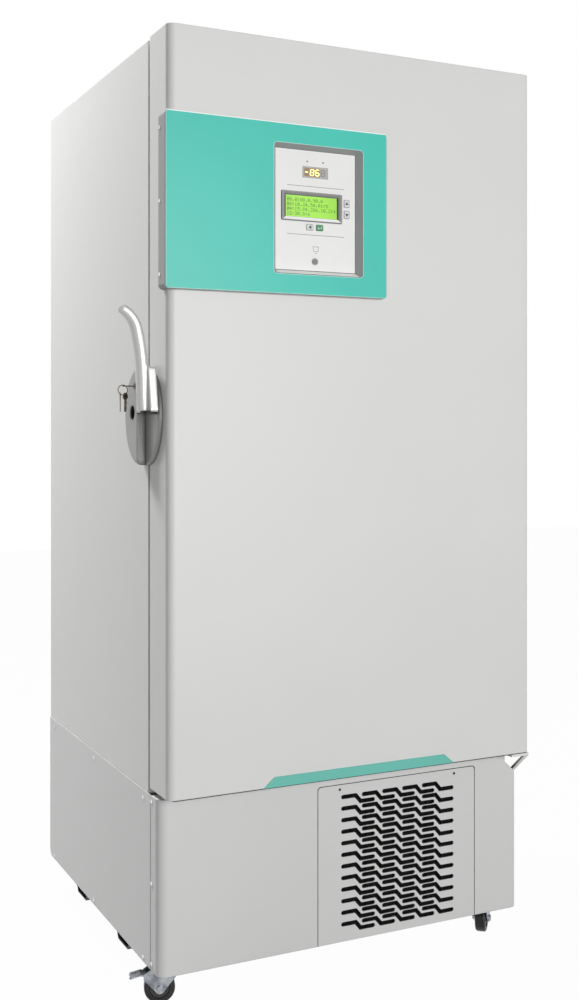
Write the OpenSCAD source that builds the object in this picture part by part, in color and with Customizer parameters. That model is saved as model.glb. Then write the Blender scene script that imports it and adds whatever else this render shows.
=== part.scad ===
// Upright ultra low temperature freezer on a caster base.
// Millimetres, +Z up, front towards -Y. The origin is on the floor, under the middle of the cabinet.

/* [Overall] */
// Width of the insulated cabinet and of its door
cabinet_w = 870; // [844:2:900]
// Depth over all, from the door's face to the back panel
total_d = 864; // [840:2:920]
// Height from the floor to the top of the door
total_h = 1980; // [1920:5:2040]
// Height of the machine compartment's upper edge
base_top_z = 437; // [430:1:450]
// Height of the machine compartment's lower edge
base_bottom_z = 82; // [80:1:86]
// How far the machine compartment stands out beyond the cabinet's sides
base_proud = 2; // [1.8:0.1:3]
// How far the machine compartment's front stands back from the door's face
base_setback = 49; // [46:1:54]
// How far the front cover is folded back along the sides
base_fold = 49; // [46:1:54]
// Thickness of the painted sheet steel
sheet_t = 1.5; // [1:0.1:1.8]

/* [Insulated cabinet] */
// Thickness of the side walls
wall_side = 130; // [122:1:136]
// Thickness of the roof
wall_top = 130; // [120:1:140]
// Thickness of the floor
wall_bottom = 130; // [120:1:140]
// Thickness of the rear wall
wall_back = 130; // [110:1:140]
// Thickness of the stainless liner
liner_t = 1.5; // [1:0.1:2]
// Depth of the throat that holds the inner doors
throat_depth = 55; // [52:1:60]
// Width of the step that the inner doors seal against
rim_w = 19; // [17:1:21]
// Thickness of the plastic throat frame
throat_t = 3; // [2:0.5:4]
// Width of the steel flange round the cabinet's front
flange_w = 22; // [18:1:26]
// Diameter of the evaporator tube
coil_d = 10; // [8:1:12]
// Number of turns of evaporator tube
coil_turns = 8; // [4:1:10]
// Inner radius of the sleeve for probes through the rear wall
port_r = 11; // [8:1:14]
// Place of that sleeve to the right of the middle
port_x = 180; // [100:5:220]
// Distance of that sleeve below the cabinet's roof
port_drop = 275; // [235:5:315]
// Number of shelves
shelf_count = 3; // [1:2:5]
// Thickness of a shelf
shelf_t = 2; // [1.5:0.5:3]
// Height of a shelf's front lip
shelf_lip = 18; // [12:1:24]

/* [Inner doors] */
// Thickness of an inner door
inner_t = 34; // [30:1:36]
// Clearance between an inner door and the throat
inner_gap = 5; // [4:0.5:6]
// Space for a hinge block above and below each inner door
inner_hinge_h = 12; // [10:1:14]
// Width of the bar between the two inner doors
mullion_h = 40; // [36:1:50]

/* [Door] */
// Thickness of the door's shell
door_t = 106; // [102:1:114]
// Gap between door and cabinet, which the gasket fills
door_gap = 10; // [9:0.5:12]
// How far the door's top stands above the cabinet's
door_rise = 5; // [4:0.5:6]
// Gap between the machine compartment and the door
door_lift = 12; // [11:0.5:14]
// Radius of the door's vertical front edges
door_edge_r = 16; // [10:1:20]
// Width of the fold round the door's back
door_fold_w = 20; // [16:1:22]
// Depth of the raised middle of the door's liner
plug_depth = 16; // [10:1:18]
// Clearance between the raised liner and the throat
plug_clear = 37; // [34:1:46]
// Width of the door gasket
gasket_w = 20; // [16:1:24]
// Distance of the gasket from the door's edges
gasket_inset = 28; // [27:1:32]
// Distance of the hinge axis from the door's side
hinge_in_x = 26; // [25:1:27]
// Distance of the hinge axis from the door's back
hinge_in_y = 42; // [40:1:46]
// Radius of the hinge pins
pin_r = 6; // [5:0.5:7]
// Running clearance round every pin and shaft
fit = 0.05; // [0.03:0.01:0.09]
// Length of a hinge bush
bush_l = 30; // [24:1:36]
// Height of the coloured strip along the door's lower edge
trim_h = 21; // [16:1:28]
// Length of that strip along its lower edge
trim_w = 459; // [400:1:520]
// How far each end of that strip slopes in
trim_slope = 25; // [15:1:35]

/* [Control panel] */
// Width of the control housing
panel_w = 500; // [480:2:560]
// Height of the control housing
panel_h = 350; // [330:2:400]
// Distance of its upper edge below the door's
panel_drop = 174; // [130:2:190]
// How far it stands proud of the door's face
panel_proud = 12; // [10:0.5:15]
// How far it stands proud of the door's side
panel_side = 11; // [10:0.5:16]
// How far it reaches back along the door's side
panel_return = 27; // [22:1:32]
// Wall of the control housing
panel_wall = 3; // [2.5:0.5:4]
// Radius of its corners
panel_r = 10; // [6:1:14]
// Width of the fascia
fascia_w = 187; // [184:1:192]
// Height of the fascia
fascia_h = 250; // [246:1:256]
// Thickness of the fascia
fascia_t = 3; // [2:0.5:4]
// Distance from the housing's right edge to the fascia
fascia_in = 68; // [55:1:75]
// Distance from the housing's lower edge to the fascia
fascia_up = 52; // [44:1:60]
// How much wider the recess is at its mouth, at each side and below
recess_flare = 10; // [6:1:14]
// How much higher the recess is at its mouth
recess_flare_top = 7; // [5:0.5:12]
// Depth of the fascia behind the door's face
fascia_back = 5; // [3:0.5:7]
// Height of a button above the fascia
button_proud = 1.2; // [0.8:0.1:1.6]

/* [Latch] */
// Width of the oval latch housing across both halves
oval_w = 164; // [156:2:170]
// Height of the oval latch housing
oval_h = 200; // [196:2:216]
// Height of its centre
oval_z = 1207; // [1200:1:1214]
// Thickness of the half on the cabinet
keeper_t = 26; // [24:1:30]
// Thickness of the half on the door
latch_t = 8; // [7:0.5:10]
// Gap between the two halves
parting = 2; // [1.5:0.5:3]
// Wall of the two halves
oval_wall = 2.5; // [2:0.25:3]
// Distance of the lever's axis in front of the door's back
lever_in = 41; // [40:0.5:44]
// Height of the lever's axis
lever_z = 1222; // [1210:1:1230]
// Width of the lever's arm
lever_w = 32; // [28:1:34]
// Thickness of the lever's arm
lever_t = 24; // [20:1:26]
// Thickness of the lever's foot
foot_t = 17; // [15:0.5:19]
// Length of the arm up to its bend
lever_l = 170; // [150:2:180]
// Radius of the bend at the arm's end
bend_r = 58; // [50:2:66]
// Angle of that bend
bend_a = 58; // [45:1:64]
// Radius of the lever's shaft
shaft_r = 7; // [6:0.5:8]
// Reach of the latch tongue from the shaft
tongue_l = 58.5; // [55:0.5:59]
// Height of the key lock
lock_z = 1268; // [1262:1:1274]
// Distance of the key lock behind the cabinet's front
lock_in = 10; // [8:1:16]

/* [Machine compartment] */
// Width of the grille panel
grille_w = 396; // [380:2:420]
// Distance of the grille panel from the middle to its left edge
grille_left = 79; // [60:1:90]
// Distance of the grille panel below the compartment's upper edge
grille_drop = 18.5; // [14:0.5:24]
// Distance of the first row of slots below the grille panel's upper edge
slots_top = 26.7; // [24:0.1:30]
// Gap round the grille panel
seam = 1.2; // [0.8:0.1:2]
// Rows of slots
slot_rows = 12; // [6:1:12]
// Columns of slots
slot_cols = 5; // [2:1:5]
// Height of a slot
slot_h = 7.5; // [5:0.5:8]
// Length of each level stretch of a slot
slot_run = 31; // [26:1:34]
// Width of the sloping stretch of a slot
slot_step = 12; // [10:1:14]
// Drop between the two level stretches
slot_drop = 14; // [12:0.5:15]
// Distance between rows
row_pitch = 24.8; // [24.8:0.2:26]
// Distance between columns
col_pitch = 50.6; // [50:0.2:54]
// Radius of the compartment's corners
base_r = 20; // [14:1:24]
// Height of the cross rails under the pan
rail_h = 20; // [16:1:22]
// Width of a cross rail at its top
rail_w = 92; // [80:2:100]
// Radius of the fan's blades
fan_r = 125; // [110:1:130]
// Number of fan blades
fan_blades = 5; // [3:1:7]
// Radius of a compressor's shell
compressor_r = 80; // [70:1:84]

/* [Casters] */
// Radius of a caster wheel
wheel_r = 32; // [30:0.5:33]
// Width of a caster wheel
wheel_w = 24; // [20:1:26]
// Distance of a wheel behind its swivel axis
trail = 26; // [22:1:28]
// Radius of a wheel's axle
axle_r = 4; // [3:0.5:5]
// Distance of the swivel axes in from the compartment's sides
caster_in_x = 55; // [50:1:60]
// Distance of the front swivel axes behind the compartment's front
caster_in_y = 71; // [64:1:90]
// Distance of the rear swivel axes before the back
caster_in_back = 82; // [76:1:100]

/* [Hidden] */
$fn = 48;

paint = [0.86, 0.86, 0.85];
shade = [0.78, 0.78, 0.77];
teal = [0.36, 0.78, 0.72];
silver = [0.72, 0.72, 0.71];
zinc = [0.62, 0.65, 0.68];
steel = [0.66, 0.67, 0.68];
foam = [0.90, 0.84, 0.62];
plastic = [0.92, 0.92, 0.90];
dark = [0.12, 0.12, 0.12];
copper = [0.72, 0.45, 0.30];
brass = [0.72, 0.60, 0.34];

e = 1;
seat = 0.3;
half_w = cabinet_w / 2;
front_y = -total_d / 2;
back_y = total_d / 2;
cab_top = total_h - door_rise;
port_z = cab_top - port_drop;
panel_top = total_h - panel_drop;
panel_z = panel_top - panel_h;
door_back = front_y + door_t;
cab_front = door_back + door_gap;
door_z0 = base_top_z + door_lift;
base_x = half_w + base_proud;
base_front = front_y + base_setback;
liner_x = half_w - wall_side;
liner_z0 = base_top_z + wall_bottom;
liner_z1 = cab_top - wall_top;
liner_front = cab_front + throat_depth;
liner_back = back_y - wall_back;
throat_x = liner_x + rim_w;
throat_z0 = liner_z0 - rim_w;
throat_z1 = liner_z1 + rim_w;
mid_z = (liner_z0 + liner_z1) / 2;

// Box between two corners
module block(lo, hi) { translate(lo) cube(hi - lo); }

// Solid between two depths, drawn as seen from the front
module across(y0, y1) { translate([0, y1, 0]) rotate([90, 0, 0]) linear_extrude(y1 - y0) children(); }

// Solid between two heights, drawn as seen from above
module upright(z0, z1) { translate([0, 0, z0]) linear_extrude(z1 - z0) children(); }

// Solid between two places across the width, drawn in depth and height
module sideways(x0, x1) { translate([x0, 0, 0]) rotate([90, 0, 90]) linear_extrude(x1 - x0) children(); }

// Flat rectangle between two corners
module panel(lo, hi) { translate(lo) square(hi - lo); }

// Flat rectangle with four round corners
module round_panel(lo, hi, r) {
    panel([lo[0] + r, lo[1]], [hi[0] - r, hi[1]]);
    panel([lo[0], lo[1] + r], [hi[0], hi[1] - r]);
    for (x = [lo[0] + r, hi[0] - r], y = [lo[1] + r, hi[1] - r]) translate([x, y]) circle(r);
}

// Flat rectangle whose two lower corners are round, in the drawing's own sense of low
module cradle(lo, hi, r) {
    panel([lo[0] + r, lo[1]], [hi[0] - r, hi[1]]);
    panel([lo[0], lo[1] + r], hi);
    for (x = [lo[0] + r, hi[0] - r]) translate([x, lo[1] + r]) circle(r);
}

// Rod along the depth, the height or the width, from its start
module rod_y(p, r, l) { translate(p) rotate([-90, 0, 0]) cylinder(h = l, r = r); }
module rod_z(p, r, l) { translate(p) cylinder(h = l, r = r); }
module rod_x(p, r, l) { translate(p) rotate([0, 90, 0]) cylinder(h = l, r = r); }

// Frame between two rectangles, seen from the front
module frame(lo, hi, border, y0, y1) {
    across(y0, y1) difference() {
        panel(lo, hi);
        panel(lo + [border, border], hi - [border, border]);
    }
}

// Domed screw head that stands on a surface along +Z
module screw_head(r, h) {
    rotate_extrude() intersection() {
        translate([0, h - r * 1.6]) circle(r * 1.6);
        square([r, h]);
    }
}

function unit(v) = v / norm(v);

// Tube swept along points: each station is [place, direction, half width, half thickness]
function station_ring(s, n) =
    let (u = unit(cross([0.31, -1, 0.17], s[1])), v = unit(cross(s[1], u)))
    [for (i = [0:n - 1]) s[0] + s[3] * cos(i * 360 / n) * u + s[2] * sin(i * 360 / n) * v];

module swept(stations, n) {
    count = len(stations);
    points = [for (s = stations) each station_ring(s, n)];
    sides = [for (k = [0:count - 2], i = [0:n - 1])
        [k * n + i, (k + 1) * n + i, (k + 1) * n + (i + 1) % n, k * n + (i + 1) % n]];
    caps = [[for (i = [0:n - 1]) i], [for (i = [n - 1:-1:0]) (count - 1) * n + i]];
    polyhedron(points, concat(sides, caps));
}

// Copper line through corner points, with rounded bends
function arc_points(a, b, c, r) =
    let (p = b + unit(a - b) * r, q = b + unit(c - b) * r)
    [for (i = [0:4]) let (t = i / 4) (1 - t) * (1 - t) * p + 2 * t * (1 - t) * b + t * t * q];
function bent(path, r) = concat(
    [path[0]],
    [for (i = [1:len(path) - 2]) each arc_points(path[i - 1], path[i], path[i + 1], r)],
    [path[len(path) - 1]]);
function along(path, i) = unit(path[min(i + 1, len(path) - 1)] - path[max(i - 1, 0)]);
module pipe(path, r, bend) {
    line = bent(path, bend);
    swept([for (i = [0:len(line) - 1]) [line[i], along(line, i), r, r]], 8);
}

// Oval outline about the latch's centre, in depth and height
oval_y = (door_back + cab_front) / 2;
function oval(inset) = [for (i = [0:59])
    [oval_y + (oval_w / 2 - inset) * cos(i * 6), oval_z + (oval_h / 2 - inset) * sin(i * 6)]];

// Moulded oval with a rounded rim, standing on the freezer's left side
module oval_dome(h, r) {
    hull() for (i = [0:4])
        sideways(-half_w - h + r - r * sin(i * 22.5), -half_w) polygon(oval(r - r * cos(i * 22.5)));
}

// Cabinet

module cabinet_shell() {
    color(paint) difference() {
        block([-half_w, cab_front, base_top_z], [half_w, back_y - sheet_t, cab_top]);
        block([-half_w + sheet_t, cab_front + sheet_t, base_top_z + sheet_t],
            [half_w - sheet_t, back_y, cab_top - sheet_t]);
        block([-half_w + flange_w, cab_front - e, base_top_z + flange_w],
            [half_w - flange_w, cab_front + e + sheet_t, cab_top - flange_w]);
    }
}

module cabinet_back_panel() {
    color(paint) difference() {
        block([-half_w, back_y - sheet_t, base_top_z], [half_w, back_y, cab_top]);
        rod_y([port_x, back_y - sheet_t - e, port_z], sleeve_r + seat, sheet_t + 2 * e);
    }
}

sleeve_r = port_r + 3;
foam_front = cab_front + throat_t;
coil_r = coil_d / 2;
coil_z0 = liner_z0 + 60;
coil_pitch = (liner_z1 - liner_z0 - 120) / (coil_turns - 1);

module cabinet_insulation() {
    color(foam) difference() {
        block([-half_w + sheet_t, foam_front, base_top_z + sheet_t],
            [half_w - sheet_t, back_y - sheet_t, cab_top - sheet_t]);
        block([-throat_x - throat_t, foam_front - e, throat_z0 - throat_t],
            [throat_x + throat_t, liner_front + liner_t, throat_z1 + throat_t]);
        upright(liner_z0 - liner_t, liner_z1 + liner_t)
            liner_plan(liner_t + coil_d + 2 * seat, liner_front, coil_bend + coil_r + seat);
        rod_y([port_x, liner_back, port_z], sleeve_r + seat, wall_back);
    }
}

coil_out = liner_x + liner_t + seat + coil_r;
coil_back = liner_back + liner_t + seat + coil_r;
coil_bend = 22;
coil_front = liner_front + 70;

// Plan of the liner, or of the space round it for the coil, with two round rear corners
module liner_plan(grow, y0, r) {
    y1 = liner_back + grow;
    panel([-liner_x - grow, y0], [liner_x + grow, y1 - r]);
    panel([-liner_x - grow + r, y1 - r - e], [liner_x + grow - r, y1]);
    for (x = [-liner_x - grow + r, liner_x + grow - r]) translate([x, y1 - r]) circle(r);
}

liner_r = coil_bend - coil_r - seat;

module elbow(bend, r) { rotate_extrude(angle = 90) translate([bend, 0]) circle(r); }

// One turn: left side, back and right side of the liner
module coil_turn(z) {
    for (s = [-1, 1]) {
        rod_y([s * coil_out, coil_front, z], coil_r, coil_back - coil_front - coil_bend);
    }
    rod_x([-coil_out + coil_bend, coil_back, z], coil_r, 2 * (coil_out - coil_bend));
    translate([coil_out - coil_bend, coil_back - coil_bend, z]) elbow(coil_bend, coil_r);
    translate([-coil_out + coil_bend, coil_back - coil_bend, z]) rotate([0, 0, 90]) elbow(coil_bend, coil_r);
}

// Return bend between two turns, at the front of one side
module coil_return(s, z) {
    rod_z([s * coil_out, coil_front - coil_bend, z + coil_bend], coil_r, coil_pitch - 2 * coil_bend);
    translate([s * coil_out, coil_front, z + coil_bend]) rotate([0, 90, 180]) elbow(coil_bend, coil_r);
    translate([s * coil_out, coil_front, z + coil_pitch - coil_bend]) rotate([0, -90, 180])
        elbow(coil_bend, coil_r);
}

module evaporator_coil() {
    color(copper) union() {
        for (i = [0:coil_turns - 1]) coil_turn(coil_z0 + i * coil_pitch);
        for (i = [0:coil_turns - 2]) coil_return(i % 2 == 0 ? -1 : 1, coil_z0 + i * coil_pitch);
    }
}

module inner_liner() {
    color(steel) difference() {
        union() {
            upright(liner_z0 - liner_t, liner_z1 + liner_t) liner_plan(liner_t, liner_front, liner_r);
            block([-throat_x - throat_t, liner_front, throat_z0 - throat_t],
                [throat_x + throat_t, liner_front + liner_t, throat_z1 + throat_t]);
        }
        upright(liner_z0, liner_z1) liner_plan(0, liner_front - e, liner_r - liner_t);
        rod_y([port_x, liner_back - e, port_z], sleeve_r + seat, liner_t + 2 * e);
    }
}

mullion_t = 15;

module throat_frame() {
    color(plastic) difference() {
        union() {
            block([-half_w + flange_w + seat, cab_front, base_top_z + flange_w + seat],
                [half_w - flange_w - seat, cab_front + throat_t, cab_top - flange_w - seat]);
            block([-throat_x - throat_t, cab_front, throat_z0 - throat_t],
                [throat_x + throat_t, liner_front, throat_z1 + throat_t]);
        }
        block([-throat_x, cab_front - e, throat_z0],
            [throat_x, liner_front + e, throat_z1]);
    }
    color(plastic) block([-liner_x, liner_front, mid_z - mullion_h / 2],
        [liner_x, liner_front + mullion_t, mid_z + mullion_h / 2]);
}

inner_x = throat_x - inner_gap;
inner_axis_x = inner_x - 9;
inner_gasket_t = 5;
inner_back = liner_front - inner_gasket_t;
inner_front = inner_back - inner_t;
inner_axis_y = inner_front + 8;
inner_pin_r = 4;
hinge_block_h = inner_hinge_h - 2;
pull_l = 90;
pull_profile = [[0, 0], [0, -14], [4, -14], [7, -5], [22, -3], [24, 0]];

// Blocks that carry the inner doors' pins, on the throat's right wall
module inner_door_hinges() {
    color(silver) for (z = [throat_z0, mid_z - hinge_block_h / 2, throat_z1 - hinge_block_h]) difference() {
        block([inner_axis_x - 12, inner_front - 4, z], [throat_x, inner_axis_y + 12, z + hinge_block_h]);
        rod_z([inner_axis_x, inner_axis_y, z - e], inner_pin_r + fit, hinge_block_h + 2 * e);
    }
}

// Inner door between two heights, with its pull in front, its gasket behind and a pin at each end
module inner_door(z0, z1) {
    color(plastic) difference() {
        block([-inner_x, inner_front, z0], [inner_x, inner_back, z1]);
        across(inner_front - e, inner_front + 6)
            round_panel([-inner_x + 40, z0 + 40], [inner_x - 60, z1 - 40], 20);
    }
    color(plastic) upright((z0 + z1) / 2 - pull_l / 2, (z0 + z1) / 2 + pull_l / 2)
        translate([-inner_x + 2, inner_front]) polygon(pull_profile);
    color(silver) rod_z([inner_axis_x, inner_axis_y, z0 - inner_hinge_h / 2], inner_pin_r, inner_hinge_h / 2);
    color(silver) rod_z([inner_axis_x, inner_axis_y, z1], inner_pin_r, inner_hinge_h / 2);
    color(dark) frame([-inner_x + 4, z0 + 3], [inner_axis_x, z1 - 3], 14, inner_back, liner_front - seat);
}

module inner_door_upper() { inner_door(mid_z + inner_hinge_h / 2, throat_z1 - inner_hinge_h); }
module inner_door_lower() { inner_door(throat_z0 + inner_hinge_h, mid_z - inner_hinge_h / 2); }

shelf_x = liner_x - 4;
shelf_front = liner_front + 20;
shelf_back = liner_back - 12;
strip_t = 2.5;
shelf_pitch = (liner_z1 - liner_z0) / (shelf_count + 1);
clip_t = 10;
clip_reach = 22;
strip_w = 20;
strip_y = [shelf_front + 60, shelf_back - 80];

// Shelves with a folded front lip, on clips in four slotted strips
module shelves() {
    for (i = [1:shelf_count]) {
        z = liner_z0 + i * shelf_pitch;
        color(steel) union() {
            block([-shelf_x, shelf_front, z - shelf_t], [shelf_x, shelf_back, z]);
            block([-shelf_x, shelf_front, z - shelf_lip], [shelf_x, shelf_front + shelf_t, z]);
            block([-shelf_x, shelf_back - shelf_t, z - shelf_lip], [shelf_x, shelf_back, z]);
        }
        color(silver) for (s = [-1, 1], y = strip_y)
            block([min(s * (liner_x - strip_t), s * (liner_x - clip_reach)), y + 3, z - shelf_t - clip_t],
                [max(s * (liner_x - strip_t), s * (liner_x - clip_reach)), y + strip_w - 3, z - shelf_t - seat]);
    }
    color(silver) for (s = [-1, 1], y = strip_y)
        block([min(s * liner_x, s * (liner_x - strip_t)), y, liner_z0 + strip_w],
            [max(s * liner_x, s * (liner_x - strip_t)), y + strip_w, liner_z1 - strip_w]);
}

// Flanged sleeve that takes probes through the rear wall
module access_port() {
    color(plastic) translate([port_x, liner_back, port_z]) rotate([-90, 0, 0]) rotate_extrude() difference() {
        union() {
            panel([0, -2], [sleeve_r, wall_back + 2]);
            panel([0, wall_back], [sleeve_r + 9, wall_back + 2]);
            panel([0, -2], [sleeve_r + 7, 0]);
        }
        panel([-e, -3], [port_r, wall_back + 3]);
    }
}

// Machine compartment

pan_z = base_bottom_z + 2;
pan_t = 3;
frame_x = base_x - sheet_t - 0.5;
frame_front = base_front + 65;
frame_back = back_y - sheet_t - 0.5;
tube = 30;
return_y = base_front + base_fold;
pan_front = base_front + 34;
side_lip = 14;

module base_frame() {
    color(shade) union() {
        difference() {
            union() {
                block([-frame_x, pan_front, pan_z], [frame_x, frame_back, pan_z + pan_t]);
                for (x = [-frame_x, frame_x - tube], y = [frame_front, frame_back - tube])
                    block([x, y, pan_z], [x + tube, y + tube, base_top_z]);
            }
            for (x = [-base_x, base_x - side_lip - 1])
                block([x, frame_back - base_r, pan_z - e], [x + side_lip + 1, frame_back + e, pan_z + base_r]);
        }
        difference() {
            block([-frame_x, frame_front, base_top_z - tube], [frame_x, frame_back, base_top_z]);
            block([-frame_x + tube, frame_front + tube, base_top_z - tube - e],
                [frame_x - tube, frame_back - tube, base_top_z + e]);
        }
    }
}

rail_span = frame_back - frame_front;

// Two hat sections across the underside of the pan
module cross_rails() {
    color(dark) for (y = [frame_front + rail_span * 0.23, frame_front + rail_span * 0.64])
        difference() {
            rail(y);
            for (x = [-base_x, base_x - side_lip - 1])
                block([x, y - rail_w, base_bottom_z - 0.3], [x + side_lip + 1, y + rail_w, pan_z + e]);
        }
}

// Hat section with its brim against the pan
module rail(y) {
    top = rail_w / 2;
    foot = top - 14;
    sideways(-frame_x + 2, frame_x - 2) difference() {
        polygon([[y - top, pan_z], [y - foot, pan_z - rail_h], [y + foot, pan_z - rail_h], [y + top, pan_z]]);
        polygon([[y - top + 4, pan_z - 2], [y - foot + 2, pan_z - rail_h + 2.5],
            [y + foot - 2, pan_z - rail_h + 2.5], [y + top - 4, pan_z - 2]]);
    }
}

// Side cover: a sheet folded in below and behind, with a rounded lower rear corner
module side_cover() {
    difference() {
        sideways(base_x - side_lip, base_x) side_outline(0, 0);
        sideways(base_x - side_lip - e, base_x - sheet_t) side_outline(sheet_t, e);
    }
}

module side_outline(inset, over) {
    y0 = return_y + seam - over;
    panel([y0, base_bottom_z + base_r], [back_y - inset, base_top_z + over]);
    panel([y0, base_bottom_z + inset], [back_y - base_r, base_bottom_z + base_r + e]);
    translate([back_y - base_r, base_bottom_z + base_r]) circle(base_r - inset);
}

module base_side_panels() {
    color(paint) side_cover();
    color(paint) mirror([1, 0, 0]) side_cover();
}

notch_x = base_x - 36;
notch_h = 18;
notch_low = 51;

// Front cover, folded back along both sides, open for the grille and cut away at the hinge's brace
module base_front_panel() {
    color(paint) difference() {
        front_tray(0, return_y);
        front_tray(sheet_t, return_y + e);
        block([-base_x + sheet_t, pan_front - 1, base_bottom_z - e],
            [base_x - sheet_t, return_y + e, base_bottom_z + sheet_t + e]);
        block([-base_x + sheet_t, frame_front - 20, base_top_z - sheet_t - e],
            [base_x - sheet_t, return_y + e, base_top_z + e]);
        across(base_front - e, base_front + sheet_t + e)
            grille_outline(seam);
        across(base_front - e, return_y + e) polygon([[notch_x, base_top_z + e], [notch_x, base_top_z - notch_h],
            [base_x, base_top_z - notch_low], [base_x + e, base_top_z - notch_low], [base_x + e, base_top_z + e]]);
    }
    color(paint) grille_ledge();
}

// Strips behind the opening, which the grille panel and the filter are held against
module grille_ledge() {
    y0 = base_front + sheet_t;
    z0 = base_bottom_z + sheet_t;
    block([grille_x0 - ledge_w, y0, z0], [grille_x0 + ledge_w, y0 + sheet_t, grille_top + ledge_w]);
    block([grille_x1 - ledge_w, y0, z0], [grille_x1 + ledge_w, y0 + sheet_t, grille_top + ledge_w]);
    block([grille_x0 - ledge_w, y0, grille_top - 1.6 * ledge_w],
        [grille_x1 + ledge_w, y0 + sheet_t, grille_top + ledge_w]);
}

ledge_w = 8;

module front_tray(inset, y1) {
    upright(base_bottom_z + inset, base_top_z - inset)
        cradle([-base_x + inset, base_front + inset], [base_x - inset, y1], base_r - inset);
}

grille_x0 = -grille_left;
grille_x1 = grille_x0 + grille_w;
grille_top = base_top_z - grille_drop;
grille_r = 9;

// Outline of the grille panel, square at its lower edge, or of the opening round it
module grille_outline(grow) {
    lo = [grille_x0 - grow, base_bottom_z - grow * 2];
    hi = [grille_x1 + grow, grille_top + grow];
    panel(lo, [hi[0], hi[1] - grille_r]);
    panel([lo[0] + grille_r, hi[1] - grille_r - e], [hi[0] - grille_r, hi[1]]);
    for (x = [lo[0] + grille_r, hi[0] - grille_r]) translate([x, hi[1] - grille_r]) circle(grille_r);
}

// Outline of one zigzag slot: a level stretch, a slope down, a level stretch, with round ends
slot_r = slot_h / 2;
slot_mitre = slot_r * tan(atan(slot_drop / slot_step) / 2);
slot_slope = atan(slot_drop / slot_step);
function slot_end(c, a0) = [for (i = [0:6]) c + slot_r * [cos(a0 + i * 30), sin(a0 + i * 30)]];
function slot_outline() = concat(
    slot_end([0, 0], 90),
    [[slot_run - slot_mitre, -slot_r], [slot_run + slot_step - slot_mitre, -slot_drop - slot_r]],
    slot_end([2 * slot_run + slot_step, -slot_drop], -90),
    [[slot_run + slot_step + slot_mitre, -slot_drop + slot_r], [slot_run + slot_mitre, slot_r]]);

slots_w = (slot_cols - 1) * col_pitch + 2 * slot_run + slot_step;
slots_x = grille_x0 + (grille_w - slots_w) / 2;
slots_z = grille_top - slots_top;

module grille_panel() {
    color(shade) across(base_front, base_front + sheet_t) difference() {
        grille_outline(0);
        for (row = [0:slot_rows - 1], col = [0:slot_cols - 1])
            translate([slots_x + col * col_pitch, slots_z - row * row_pitch]) polygon(slot_outline());
    }
}

filter_y = base_front + 2 * sheet_t;
filter_t = 8;
filter_cols = 10;
filter_rows = 8;

module air_filter() {
    z0 = base_bottom_z + ledge_w;
    pitch_x = (grille_w - 2 * ledge_w) / filter_cols;
    pitch_z = (grille_top - z0 - ledge_w) / filter_rows;
    color(dark) difference() {
        block([grille_x0, filter_y, z0], [grille_x1, filter_y + filter_t, grille_top]);
        for (i = [0:filter_cols - 1], j = [0:filter_rows - 1])
            translate([grille_x0 + ledge_w + i * pitch_x, 0, z0 + j * pitch_z])
                block([3, filter_y - e, 3], [pitch_x - 3, filter_y + filter_t / 2, pitch_z - 3]);
    }
}

cond_y = filter_y + filter_t + 8;
cond_t = frame_front - cond_y - 4;
cond_x0 = grille_x0 + 16;
cond_x1 = grille_x1 - 16;
cond_z0 = pan_z + 12;
cond_z1 = grille_top - 22;

cond_rows = 6;
function cond_tube_z(i) = cond_z0 + 24 + i * (cond_z1 - cond_z0 - 48) / (cond_rows - 1);

// Finned block of tubes, held in two end plates that stand on the pan
module condenser() {
    fins = 20;
    color(steel) union() {
        for (i = [1:fins]) {
            x = cond_x0 + i * (cond_x1 - cond_x0) / (fins + 1);
            block([x, cond_y + 4, cond_z0], [x + 1, cond_y + cond_t - 4, cond_z1]);
        }
        for (x = [cond_x0, cond_x1 - 2])
            block([x, pan_front + 1, pan_z + pan_t], [x + 2, frame_front + 24, cond_z1 + 8]);
        for (i = [0:cond_rows - 1])
            rod_x([cond_x0 - 8, cond_y + cond_t / 2, cond_tube_z(i)], 6, cond_x1 - cond_x0 + 16);
    }
}

fan_x = (cond_x0 + cond_x1) / 2;
fan_z = (cond_z0 + cond_z1) / 2;
shroud_y = frame_front + 26;
shroud_t = 30;

module fan_shroud() {
    color(dark) difference() {
        union() {
            block([cond_x0, shroud_y, pan_z + pan_t], [cond_x1, shroud_y + 3, cond_z1 + 8]);
            rod_y([fan_x, shroud_y, fan_z], fan_r + 8, shroud_t);
        }
        rod_y([fan_x, shroud_y - e, fan_z], fan_r + 5, shroud_t + 2 * e);
    }
}

motor_y = shroud_y + shroud_t + 12;
fan_shaft_r = 5;

// Motor on a three armed bracket behind the shroud, with a bore for the rotor's shaft
module fan_motor() {
    color(zinc) difference() {
        union() {
            rod_y([fan_x, motor_y, fan_z], 42, 70);
            rod_y([fan_x, motor_y - 6, fan_z], 16, 6);
            translate([fan_x, 0, fan_z]) for (a = [90, 210, 330]) rotate([0, a, 0]) {
                block([0, motor_y, -8], [fan_r + 14, motor_y + 4, 8]);
                block([fan_r + 8.3, shroud_y + 3, -8], [fan_r + 14, motor_y + 4, 8]);
            }
        }
        rod_y([fan_x, motor_y - 6 - e, fan_z], fan_shaft_r + fit, 40 + e);
    }
}

module fan_rotor() {
    color(dark) union() {
        rod_y([fan_x, shroud_y + 6, fan_z], 28, 26);
        rod_y([fan_x, shroud_y + 32, fan_z], fan_shaft_r, motor_y + 24 - shroud_y - 32);
        translate([fan_x, shroud_y + 18, fan_z]) for (i = [0:fan_blades - 1])
            rotate([0, i * 360 / fan_blades, 0]) fan_blade();
    }
}

// Pitched blade cut to the fan's circle
module fan_blade() {
    intersection() {
        translate([22, 0, 0]) rotate([28, 0, 0]) block([0, -1.5, -28], [fan_r, 1.5, 28]);
        rotate([90, 0, 0]) translate([0, 0, -30]) cylinder(h = 60, r = fan_r);
    }
}

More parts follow.
